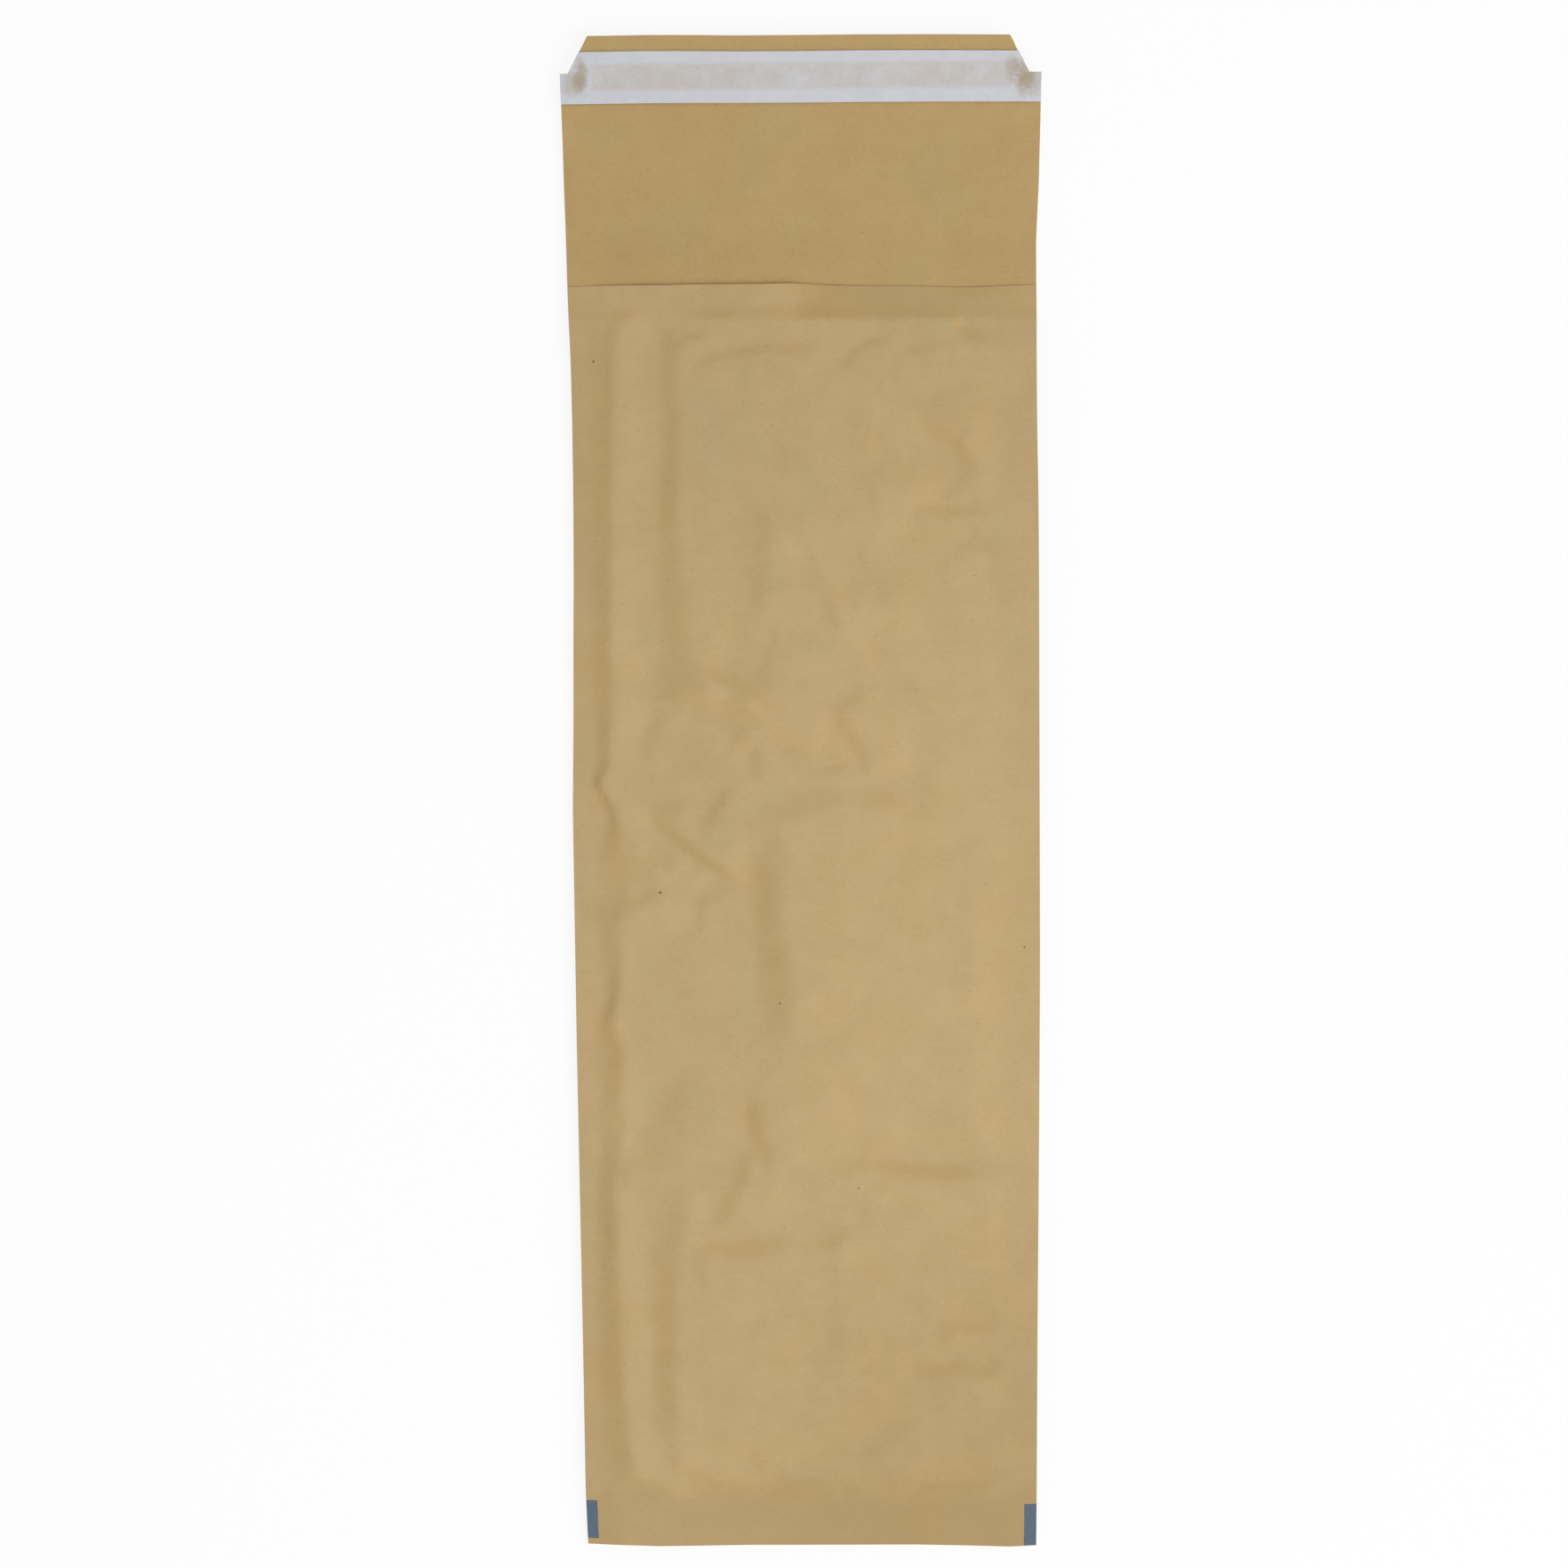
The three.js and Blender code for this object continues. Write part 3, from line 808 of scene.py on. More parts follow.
class Shader:
    """A material and the nodes that make its finish."""

    def __init__(self, name: str) -> None:
        """Starts a material with its surface shader.

        Args:
            name: The material's name.
        """
        self.material = bpy.data.materials.new(name)
        self.material.use_nodes = True
        self.tree = self.material.node_tree
        self.tree.nodes.clear()
        self.surface = self.node("ShaderNodeBsdfPrincipled")
        self.output = self.node("ShaderNodeOutputMaterial")
        self.put(self.output.inputs["Surface"], Value(self, self.surface.outputs[0]))

    def node(
        self,
        kind: str,
        settings: dict[str, Any] | None = None,
        inputs: dict[Any, Any] | None = None,
    ) -> bpy.types.Node:
        """Adds a node.

        Args:
            kind: The node's type.
            settings: Its properties, set before its sockets.
            inputs: Values or links of its sockets, by name or number.

        Returns:
            The node.
        """
        made = self.tree.nodes.new(kind)
        for key, value in (settings or {}).items():
            setattr(made, key, value)
        for key, value in (inputs or {}).items():
            self.put(made.inputs[key], value)
        return made

    def put(self, socket: bpy.types.NodeSocket, value: Any) -> None:
        """Links a value to a socket, or sets the socket to a plain number or colour.

        Args:
            socket: The node's input.
            value: What it takes.
        """
        if isinstance(value, Value):
            self.tree.links.new(value.socket, socket)
        else:
            socket.default_value = value

    def finish(self, **inputs: Any) -> bpy.types.Material:
        """Sets the surface shader's sockets.

        Args:
            inputs: Socket names, with underscores for spaces, and their values.

        Returns:
            The material.
        """
        for key, value in inputs.items():
            self.put(self.surface.inputs[key.replace("_", " ")], value)
        return self.material

    def place(self) -> Value:
        """Gives the place on the object, in metres."""
        return Value(self, self.node("ShaderNodeTexCoord").outputs["Object"])

    def flat(self, name: str) -> tuple[Value, Value]:
        """Gives the place on the flat sheet, from its own map.

        Args:
            name: The map's name.

        Returns:
            The shares of the sheet's width and length.
        """
        uv = self.node("ShaderNodeUVMap", {"uv_map": name})
        u, v, _ = self.split(Value(self, uv.outputs[0]))
        return u, v

    def split(self, vector: Value) -> list[Value]:
        """Splits a vector into its three numbers."""
        parts = self.node("ShaderNodeSeparateXYZ", inputs={0: vector})
        return [Value(self, output) for output in parts.outputs]

    def stretch(self, vector: Value, scale: Sequence[float]) -> Value:
        """Scales a vector along each axis."""
        node = self.node("ShaderNodeMapping", inputs={"Vector": vector, "Scale": scale})
        return Value(self, node.outputs[0])

    def noise(
        self, vector: Value, scale: float | Sequence[float], detail: float = 3.0, rough: float = 0.55
    ) -> Value:
        """Adds a noise pattern.

        Args:
            vector: Where the pattern is read.
            scale: Its features to the metre, the same all round or for each axis.
            detail: Its octaves.
            rough: How strong the finer octaves are.

        Returns:
            The pattern, about 0.5.
        """
        if not isinstance(scale, float):
            vector, scale = self.stretch(vector, scale), 1.0
        inputs = {"Vector": vector, "Scale": scale, "Detail": detail, "Roughness": rough}
        return Value(self, self.node("ShaderNodeTexNoise", inputs=inputs).outputs[0])

    def mix(self, factor: Any, low: Any, high: Any, blend: str = "MIX") -> Value:
        """Mixes two colours.

        Args:
            factor: Share of the second colour.
            low: The first colour.
            high: The second colour.
            blend: How the second is laid over the first.

        Returns:
            The mixed colour.
        """
        node = self.node("ShaderNodeMix", {"data_type": "RGBA", "blend_type": blend})
        for key, value in zip(("Factor_Float", "A_Color", "B_Color"), (factor, low, high)):
            socket = next(s for s in node.inputs if s.identifier == key)
            self.put(socket, value)
        return Value(self, next(s for s in node.outputs if s.identifier == "Result_Color"))

    def bump(self, height: Value, strength: float, distance: float) -> Value:
        """Turns a height into a normal.

        Args:
            height: The height pattern.
            strength: How much of it shows.
            distance: Its height in metres.

        Returns:
            The normal.
        """
        inputs = {"Strength": strength, "Distance": distance, "Height": height}
        return Value(self, self.node("ShaderNodeBump", inputs=inputs).outputs[0])


def spread(x: Value, y: Value, at: Point, size: Point) -> Value:
    """Measures how far places are from a spot.

    Args:
        x: Place across.
        y: Place along.
        at: The spot's middle.
        size: Its half width and half height.

    Returns:
        The distance squared, which is 1 at the spot's edge.
    """
    aside, above = (x - at[0]) * (1 / size[0]), (y - at[1]) * (1 / size[1])
    return aside * aside + above * above


class Face(Enum):
    """A face of the kraft paper, by its material's name."""

    OUTSIDE = "kraft_outside"
    INSIDE = "kraft_inside"


@dataclass(frozen=True)
class Shade:
    """A stretch of the outer face that is darker than the rest. Some are the paper's own tone, others
    painted shade or painted light.

    Its bounds are pairs of places between which it comes in or goes out. They are measured from the
    middle across the bag, and from the bottom fold along it.

    Args:
        tone: How much darker it is, or lighter where this is below 0.
        right_of: Where it comes in across the bag.
        left_of: Where it goes out across the bag.
        above: Where it comes in along the bag.
        below: Where it goes out along the bag.
    """

    tone: float
    right_of: Point | None = None
    left_of: Point | None = None
    above: Point | None = None
    below: Point | None = None

    def at(self, x: Value, up: Value) -> Value:
        """Works out the shade.

        Args:
            x: Place across the bag.
            up: Distance from the bottom fold.

        Returns:
            How much darker the place is.
        """
        total: Any = self.tone
        for place, bounds in ((x, (self.right_of, self.left_of)), (up, (self.above, self.below))):
            comes_in, goes_out = bounds
            if comes_in:
                total = place.smooth(*comes_in) * total
            if goes_out:
                total = (1 - place.smooth(*goes_out)) * total
        return total


LOWER_PANEL: Point = (17.0, 127.5)
OUTER_TONES_PAINTED_SHADE_AND_LIGHT: tuple[Shade, ...] = (
    # The lower panel: painted shade, as the light falls off towards the bottom, most of all to the
    # right
    Shade(0.31, right_of=(-20.0, 25.0), below=LOWER_PANEL),
    Shade(0.06, below=LOWER_PANEL),
    # The left seam's lower end, the right seam, and a pale band beside the left one, which is painted
    # light on the slopes beside the left seam
    Shade(0.12, left_of=(-56.0, -50.0), below=LOWER_PANEL),
    Shade(0.06, right_of=(45.0, 57.0)),
    Shade(-0.06, right_of=(-54.0, -48.0), left_of=(-46.0, -36.0)),
    # Towards the mouth: painted shade, as less light falls there. And the right of the bare lip, darker
    Shade(0.12, above=(230.0, 310.0)),
    Shade(0.16, right_of=(-8.0, 6.0), left_of=(44.0, 52.0), above=(321.6, 323.6)),
)


@dataclass(frozen=True)
class KraftFinish:
    """Unbleached kraft paper: one face of it.

    Args:
        face: Which face; the outer one has the register marks, the specks, the shades and the painted
            shade on slopes.
        light: Colour of the paper's lightest clouds.
        dark: Colour of its darkest.
        fleck: Colour of the fibre bundles in it.
        body: Where the paper lies between light and dark, from 0 to 1.
        grain: How strongly its fibres show.
        painted_bend_shade: Tint of painted warm shade, laid on the outer face where it slopes steeply.
        cool: Tint of the coolest patches.
        warm: Tint of the warmest.
        mark: Colour of the register marks.
        left_mark: The left mark's inner edge, foot and top.
        right_mark: The right mark's.
        speck: Colour of the specks.
        specks: Each speck's place across the bag, its distance from the fold, and its radius.
        margin: Height of the darker margin above the bottom fold.
        margin_soft: Distance over which its edge fades.
        margin_tone: How much darker it is.
        shades: Where else the outer face is darker, largely painted shade.
    """

    face: Face
    light: Colour
    dark: Colour
    fleck: Colour
    body: float
    grain: float = 0.46
    painted_bend_shade: Colour = (1.02, 0.99, 0.91, 1.0)
    cool: Colour = (0.987, 1.0, 1.01, 1.0)
    warm: Colour = (1.015, 0.994, 0.976, 1.0)
    mark: Colour = srgb(83, 102, 120)
    left_mark: tuple[float, float, float] = (-57.0, 1.95, 12.6)
    right_mark: tuple[float, float, float] = (56.7, 0.3, 12.0)
    speck: Colour = srgb(104, 84, 52)
    specks: tuple[tuple[float, float, float], ...] = (
        (-37.5, 176.7, 0.45),
        (56.0, 161.7, 0.3),
        (-7.0, 147.7, 0.32),
        (13.0, 98.7, 0.28),
        (-54.0, 312.7, 0.4),
    )
    margin: float = 17.0
    margin_soft: float = 5.0
    margin_tone: float = 0.27
    shades: tuple[Shade, ...] = OUTER_TONES_PAINTED_SHADE_AND_LIGHT

    def make(self, form: BagForm) -> bpy.types.Material:
        """Makes the material.

        Args:
            form: The bag's sizes, for where the outer face's marks and shades are.

        Returns:
            The material.
        """
        shader = Shader(self.face.value)
        place = shader.place()
        cloud = shader.noise(place, 110.0, detail=4.0, rough=0.6) - 0.5
        grain = shader.noise(place, 1100.0, detail=3.0, rough=0.65) - 0.5
        streak = shader.noise(place, (60.0, 1300.0, 300.0), detail=2.0) - 0.5
        bundle = shader.noise(place, (700.0, 1500.0, 700.0), detail=1.0)
        hue = shader.noise(place, 48.0, detail=3.0, rough=0.6)
        u, v = shader.flat(BLANK_MAP)
        x = (u - 0.5) * form.width
        y = v * form.blank_length - form.length
        tone = cloud * 0.55 + grain * self.grain + streak * 0.16 + self.body
        if self.face is Face.OUTSIDE:
            ragged = shader.noise(place, (130.0, 70.0, 70.0), detail=1.5, rough=0.5) - 0.5
            tone = tone + self._shading(x, abs(y), ragged * 21.0 + streak * 4.0)
        colour = shader.mix(tone.smooth(-0.25, 1.25), self.light, self.dark)
        tint = shader.mix(hue.smooth(0.32, 0.68), self.cool, self.warm)
        colour = shader.mix(1.0, colour, tint, "MULTIPLY")
        colour = shader.mix(bundle.smooth(0.70, 0.80) * 0.55, colour, self.fleck)
        if self.face is Face.OUTSIDE:
            # Painted shade: the warm shade on the creases' steep slopes is painted into the colour
            note = shader.node("ShaderNodeAttribute", {"attribute_name": SLOPE_SHADE_NOTE})
            shade_share = Value(shader, note.outputs["Fac"])
            colour = shader.mix(shade_share, colour, self.painted_bend_shade, "MULTIPLY")
            colour = shader.mix(self._marks(x, y, grain), colour, self.mark)
            colour = shader.mix(self._spots(x, y, grain), colour, self.speck)
        normal = shader.bump(grain * 0.6 + streak * 0.4, strength=0.25, distance=0.00006)
        return shader.finish(
            Base_Color=colour, Roughness=0.68 + grain * 0.25, Normal=normal, Specular_IOR_Level=0.3
        )

    def _shading(self, x: Value, up: Value, ragged: Value) -> Value:
        """Adds up the margin and the shades.

        Args:
            x: Place across the blank.
            up: Distance from the bottom fold.
            ragged: How far the margin's edge is out of place.

        Returns:
            How much darker the place is.
        """
        low, high = self.margin - self.margin_soft, self.margin + self.margin_soft
        total = (1 - (up + ragged).smooth(low, high)) * self.margin_tone
        for shade in self.shades:
            total = total + shade.at(x, up)
        return total

    def _spots(self, x: Value, y: Value, grain: Value) -> Value:
        """Finds the few dark specks in the front panel's paper.

        Args:
            x: Place across the blank.
            y: Distance above the bottom fold.
            grain: The paper's grain, which makes them uneven.

        Returns:
            Where the specks are, and how dense.
        """
        total: Any = 0.0
        for at, up, size in self.specks:
            away = spread(x, y, (at, up), (size, size)) + grain * 1.5
            total = (1 - away.smooth(0.3, 1.2)) + total
        return total * 0.8

    def _marks(self, x: Value, y: Value, grain: Value) -> Value:
        """Prints a register mark at each end of the bottom fold.

        Args:
            x: Place across the blank.
            y: Distance above the bottom fold.
            grain: The paper's grain, which breaks the print's edge.

        Returns:
            Where the marks are, and how dense.
        """
        x, y = x + grain * 0.5, y + grain * 0.5
        inner, foot, top = self.left_mark
        left = (x < inner) * (y > foot) * (y < top)
        inner, foot, top = self.right_mark
        right = (x > inner) * (y > foot) * (y < top)
        return (left + right) * (0.96 + grain * 0.2)


@dataclass(frozen=True)
class LinerFinish:
    """White release paper, with the adhesive showing through it.

    Args:
        name: The material's name.
        white: Colour of its lightest patches.
        pale: Colour of its darkest.
        band: Colour of the adhesive under it.
        stain: Colour of the stains at its ends.
        stains: Each stain's middle, its half width and half height, and its strength.
    """

    name: str = "release_paper"
    white: Colour = srgb(207, 209, 214)
    pale: Colour = srgb(201, 202, 208)
    band: Colour = srgb(195, 189, 183)
    stain: Colour = srgb(168, 153, 129)
    stains: tuple[tuple[float, float, float, float, float], ...] = (
        (-55.5, 0.4, 1.9, 4.6, 1.0),
        (-57.8, -1.6, 2.6, 3.4, 0.55),
        (56.0, -0.4, 2.8, 4.8, 1.1),
        (52.8, 1.4, 1.8, 3.4, 0.65),
        (58.6, -1.0, 2.2, 4.6, 0.65),
    )

    def make(self, form: BagForm) -> bpy.types.Material:
        """Makes the material.

        Args:
            form: The bag's sizes, for where the adhesive lies.

        Returns:
            The material.
        """
        shader = Shader(self.name)
        place = shader.place()
        x, y, _ = shader.split(shader.stretch(place, (1 / MM, 1 / MM, 1 / MM)))
        edge = shader.noise(place, 300.0, detail=4.0, rough=0.6) - 0.5
        blot = shader.noise(place, 120.0, detail=2.0) - 0.5
        fine = shader.noise(place, 1400.0, detail=2.0) - 0.5
        along = y - (form.liner_start + form.liner_width / 2)
        half = form.glue_width / 2
        end = form.half - form.glue_end_inset
        beside = abs(along) + edge * 2.4
        past = abs(x) + edge * 5.0
        inside = (1 - beside.smooth(half - 0.8, half + 0.6)) * (1 - past.smooth(end - 1.0, end + 1.0))
        mottle = edge * 1.6 + blot + fine * 0.8
        sheen = shader.mix(mottle.smooth(-0.5, 0.5), self.white, self.pale)
        colour = shader.mix(inside * (0.72 + mottle), sheen, self.band)
        smear = edge * 3.4 + fine * 1.6
        for at, up, wide, tall, strength in self.stains:
            away = spread(x, along, (at, up), (wide, tall)) + smear
            dense = (1 - away.smooth(-0.5, 1.6)) * (1.0 + smear * 0.3) * strength
            colour = shader.mix(dense, colour, self.stain)
        normal = shader.bump(edge + fine * 0.3, strength=0.2, distance=0.00008)
        return shader.finish(Base_Color=colour, Roughness=0.42 + fine * 0.2, Normal=normal)


@dataclass(frozen=True)
class FilmFinish:
    """Clear bubble film."""

    name: str = "bubble_film"
    tone: Colour = srgb(226, 230, 229)
    alpha: float = 0.42

    def make(self) -> bpy.types.Material:
        """Makes the material.

        Returns:
            The material.
        """
        shader = Shader(self.name)
        haze = shader.noise(shader.place(), 300.0, detail=3.0) - 0.5
        return shader.finish(Base_Color=self.tone, Roughness=0.14 + haze * 0.2, Alpha=self.alpha)


@dataclass(frozen=True)
class GlueFinish:
    """Pale amber hot-melt adhesive."""

    name: str = "hot_melt"
    tone: Colour = srgb(216, 196, 146)
    thick: Colour = srgb(196, 168, 110)

    def make(self) -> bpy.types.Material:
        """Makes the material.

        Returns:
            The material.
        """
        shader = Shader(self.name)
        flow = shader.noise(shader.place(), (120.0, 900.0, 120.0), detail=3.0)
        colour = shader.mix(flow.smooth(0.35, 0.7), self.tone, self.thick)
        normal = shader.bump(flow, strength=0.3, distance=0.00005)
        return shader.finish(Base_Color=colour, Roughness=0.3, Normal=normal)


@dataclass
class Workbench:
    """Modelling steps that the sheets go through.

    Args:
        form: The bag's sizes.
        corner_reach: How far in from the cut edge a corner is cut.
        weld: Distance within which points are merged.
    """

    form: BagForm
    corner_reach: float = 16.0
    weld: float = 0.01

    def grid(self, name: str, columns: int, lines: np.ndarray) -> bpy.types.Object:
        """Adds a flat web as a grid, with its lines at chosen places along it.

        Args:
            name: The piece's name.
            columns: Number of faces across.
            lines: Places of the lines along the web, from low to high.

        Returns:
            The flat web, in the XY plane, as wide as the bag.
        """
        bpy.ops.object.select_all(action="DESELECT")
        rows = len(lines) - 1
        bpy.ops.mesh.primitive_grid_add(x_subdivisions=columns, y_subdivisions=rows, size=1.0)
        piece = bpy.context.object
        piece.name = name
        piece.data.name = name
        at = self.read(piece)
        across = np.rint((at[:, 0] + 0.5) * columns) / columns
        line = np.rint((at[:, 1] + 0.5) * rows).astype(int)
        at[:, 0] = (across - 0.5) * self.form.width * MM
        at[:, 1] = np.asarray(lines)[line] * MM
        self.write(piece, at)
        return piece

    @staticmethod
    def pick(piece: bpy.types.Object, *others: bpy.types.Object) -> None:
        """Selects a piece, and others with it, and makes it the active one.

        Args:
            piece: The piece.
            others: What else to select.
        """
        bpy.ops.object.select_all(action="DESELECT")
        for each in (piece, *others):
            each.select_set(True)
        bpy.context.view_layer.objects.active = piece

    @staticmethod
    def read(piece: bpy.types.Object) -> np.ndarray:
        """Reads a piece's points.

        Args:
            piece: The piece.

        Returns:
            The points in metres, one row each.
        """
        at = np.empty(len(piece.data.vertices) * 3)
        piece.data.vertices.foreach_get("co", at)
        return at.reshape(-1, 3)

    @staticmethod
    def write(piece: bpy.types.Object, at: np.ndarray) -> None:
        """Moves a piece's points."""
        piece.data.vertices.foreach_set("co", np.ascontiguousarray(at, dtype=np.float64).ravel())
        piece.data.update()

    def die_cut(self, piece: bpy.types.Object, end: float, sign: float) -> None:
        """Cuts the two corners off the flap's end of a flat web.

        Args:
            piece: The flat web.
            end: Place of the flap's end along the web.
            sign: 1 if the web runs on above the end, and -1 if it runs on below it.
        """
        form = self.form
        for side in (-1.0, 1.0):
            foot = side * (form.half - form.shoulder_inset) + form.cut_shift
            top = side * (form.half - form.cut_inset) + form.cut_shift
            shoulder = end + sign * form.cut_height
            slant = Vector((top - foot, end - shoulder, 0.0))
            out = Vector((slant.y, -slant.x, 0.0)) * (1.0 if slant.y * side > 0 else -1.0)
            self._select(piece, side, shoulder, sign)
            bpy.ops.object.mode_set(mode="EDIT")
            bpy.ops.mesh.split()
            bpy.ops.mesh.bisect(
                plane_co=(foot * MM, shoulder * MM, 0.0), plane_no=out.normalized(), clear_outer=True
            )
            bpy.ops.mesh.select_all(action="SELECT")
            bpy.ops.mesh.remove_doubles(threshold=self.weld * MM)
            bpy.ops.object.mode_set(mode="OBJECT")

    def _select(self, piece: bpy.types.Object, side: float, shoulder: float, sign: float) -> None:
        """Selects the faces of one corner, past the shoulder of the die.

        Args:
            piece: The flat web.
            side: -1 for the left corner and 1 for the right one.
            shoulder: Place of the die's shoulder along the web.
            sign: 1 if the web runs on above its end, and -1 if it runs on below it.
        """
        self.pick(piece)
        bpy.ops.object.mode_set(mode="EDIT")
        bpy.ops.mesh.select_mode(type="FACE")
        bpy.ops.mesh.select_all(action="DESELECT")
        bpy.ops.object.mode_set(mode="OBJECT")
        for face in piece.data.polygons:
            centre = face.center
            past = (centre.y / MM - shoulder) * sign < 0
            face.select = past and centre.x * side > (self.form.half - self.corner_reach) * MM

    @staticmethod
    def map_flat(piece: bpy.types.Object, name: str, size: Point) -> None:
        """Writes each point's place on the flat web into a UV map.

        Args:
            piece: The flat web, before it is folded.
            name: The map's name.
            size: The web's width and length.
        """
        mesh = piece.data
        while mesh.uv_layers:
            mesh.uv_layers.remove(mesh.uv_layers[0])
        layer = mesh.uv_layers.new(name=name)
        corner = np.empty(len(mesh.loops), dtype=np.int32)
        mesh.loops.foreach_get("vertex_index", corner)
        at = Workbench.read(piece)[corner] / MM
        uv = np.stack([at[:, 0] / size[0] + 0.5, at[:, 1] / size[1]], axis=1)
        layer.data.foreach_set("uv", uv.ravel())

    @staticmethod
    def thicken(piece: bpy.types.Object, thickness: float, inner_slot: int = 0) -> None:
        """Gives a sheet its thickness, under its first face.

        Args:
            piece: The sheet.
            thickness: Its thickness.
            inner_slot: How many material slots further the new face's material is.
        """
        Workbench.pick(piece)
        wall = piece.modifiers.new("thickness", "SOLIDIFY")
        wall.thickness = thickness * MM
        wall.offset = -1.0
        wall.material_offset = inner_slot
        bpy.ops.object.modifier_apply(modifier=wall.name)
        bpy.ops.object.shade_smooth_by_angle(angle=SMOOTH_ANGLE)

    @staticmethod
    def dress(piece: bpy.types.Object, *materials: bpy.types.Material) -> None:
        """Puts materials in a piece's slots.

        Args:
            piece: The piece.
            materials: One for each slot.
        """
        piece.data.materials.clear()
        for material in materials:
            piece.data.materials.append(material)

    @staticmethod
    def seat(piece: bpy.types.Object, node: str, slot: str) -> None:
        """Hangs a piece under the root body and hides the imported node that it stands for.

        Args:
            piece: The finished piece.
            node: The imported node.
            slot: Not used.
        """
        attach(piece, "root")
        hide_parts(node)


@dataclass
class KraftWrap:
    """The kraft blank: die-cut flat, then folded round the lining, with its back ply as the flap.

    Args:
        bench: The modelling steps and the bag's sizes.
        columns: Number of faces across the blank.
        front_step: Length of a face on the front panel.
        back_step: Length of a face on the back panel.
        flap_step: Length of a face on the flap.
        fold_steps: Number of faces round the bottom fold.
        shade_slope_span: Slope at which the painted shade on slopes starts, and the rise to its full
            strength.
        steepest: Least share of the upright that a slope is measured by.
        outside: Finish of the outer face.
        inside: Finish of the inner face.
    """

    bench: Workbench
    columns: int = 100
    front_step: float = 1.05
    back_step: float = 4.0
    flap_step: float = 1.3
    fold_steps: int = 8
    shade_slope_span: Point = (0.03, 0.4)
    steepest: float = 0.05
    outside: KraftFinish = KraftFinish(
        Face.OUTSIDE, srgb(200, 174, 128), srgb(175, 148, 101), srgb(168, 139, 92), 0.4
    )
    inside: KraftFinish = KraftFinish(
        Face.INSIDE, srgb(194, 165, 113), srgb(170, 140, 87), srgb(163, 132, 81), 0.42, 0.56
    )

    def build(self) -> bpy.types.Object:
        """Makes the piece.

        Returns:
            The folded blank.
        """
        form = self.bench.form
        piece = self.bench.grid("kraft_wrap.sheet", self.columns, self._lines())
        self.bench.die_cut(piece, 0.0, 1.0)
        self.bench.map_flat(piece, BLANK_MAP, (form.width, form.blank_length))
        flat = self.bench.read(piece) / MM
        none = np.zeros(len(flat))
        self.bench.write(piece, form.wrap(flat[:, 0], flat[:, 1], 0.0, none) * MM)
        self._note_slope_shade(piece)
        self.bench.dress(piece, self.outside.make(form), self.inside.make(form))
        self.bench.thicken(piece, form.paper, 1)
        self.bench.seat(piece, "kraft_wrap", "kraft")
        return piece

    def _note_slope_shade(self, piece: bpy.types.Object) -> None:
        """Writes how steeply the paper stands at each point into an attribute, for the painted shade on
        slopes in its finish.

        Args:
            piece: The folded blank, before it has its thickness.
        """
        normals = np.empty(len(piece.data.vertices) * 3)
        piece.data.vertex_normals.foreach_get("vector", normals)
        level = np.abs(normals.reshape(-1, 3)[:, 2])
        slope = np.sqrt(np.clip(1.0 - level**2, 0.0, 1.0)) / np.maximum(level, self.steepest)
        layer = piece.data.attributes.new(SLOPE_SHADE_NOTE, "FLOAT", "POINT")
        layer.data.foreach_set("value", ramp(slope, *self.shade_slope_span))

    def _lines(self) -> np.ndarray:
        """Places the grid's lines: closer on the front panel, with one on the die's shoulder.

        Returns:
            The lines' places along the blank.
        """
        form = self.bench.form
        arc = math.pi * form.fold_radius / 2
        stops = [
            (0.0, form.cut_height, self.flap_step),
            (form.cut_height, form.flap, self.flap_step),
            (form.flap, form.length - arc, self.back_step),
            (form.length - arc, form.length + arc, 2 * arc / self.fold_steps),
            (form.length + arc, form.blank_length, self.front_step),
        ]
        parts = [
            np.linspace(low, high, max(2, round((high - low) / step)) + 1)[:-1]
            for low, high, step in stops
        ]
        return np.concatenate([*parts, [form.blank_length]])


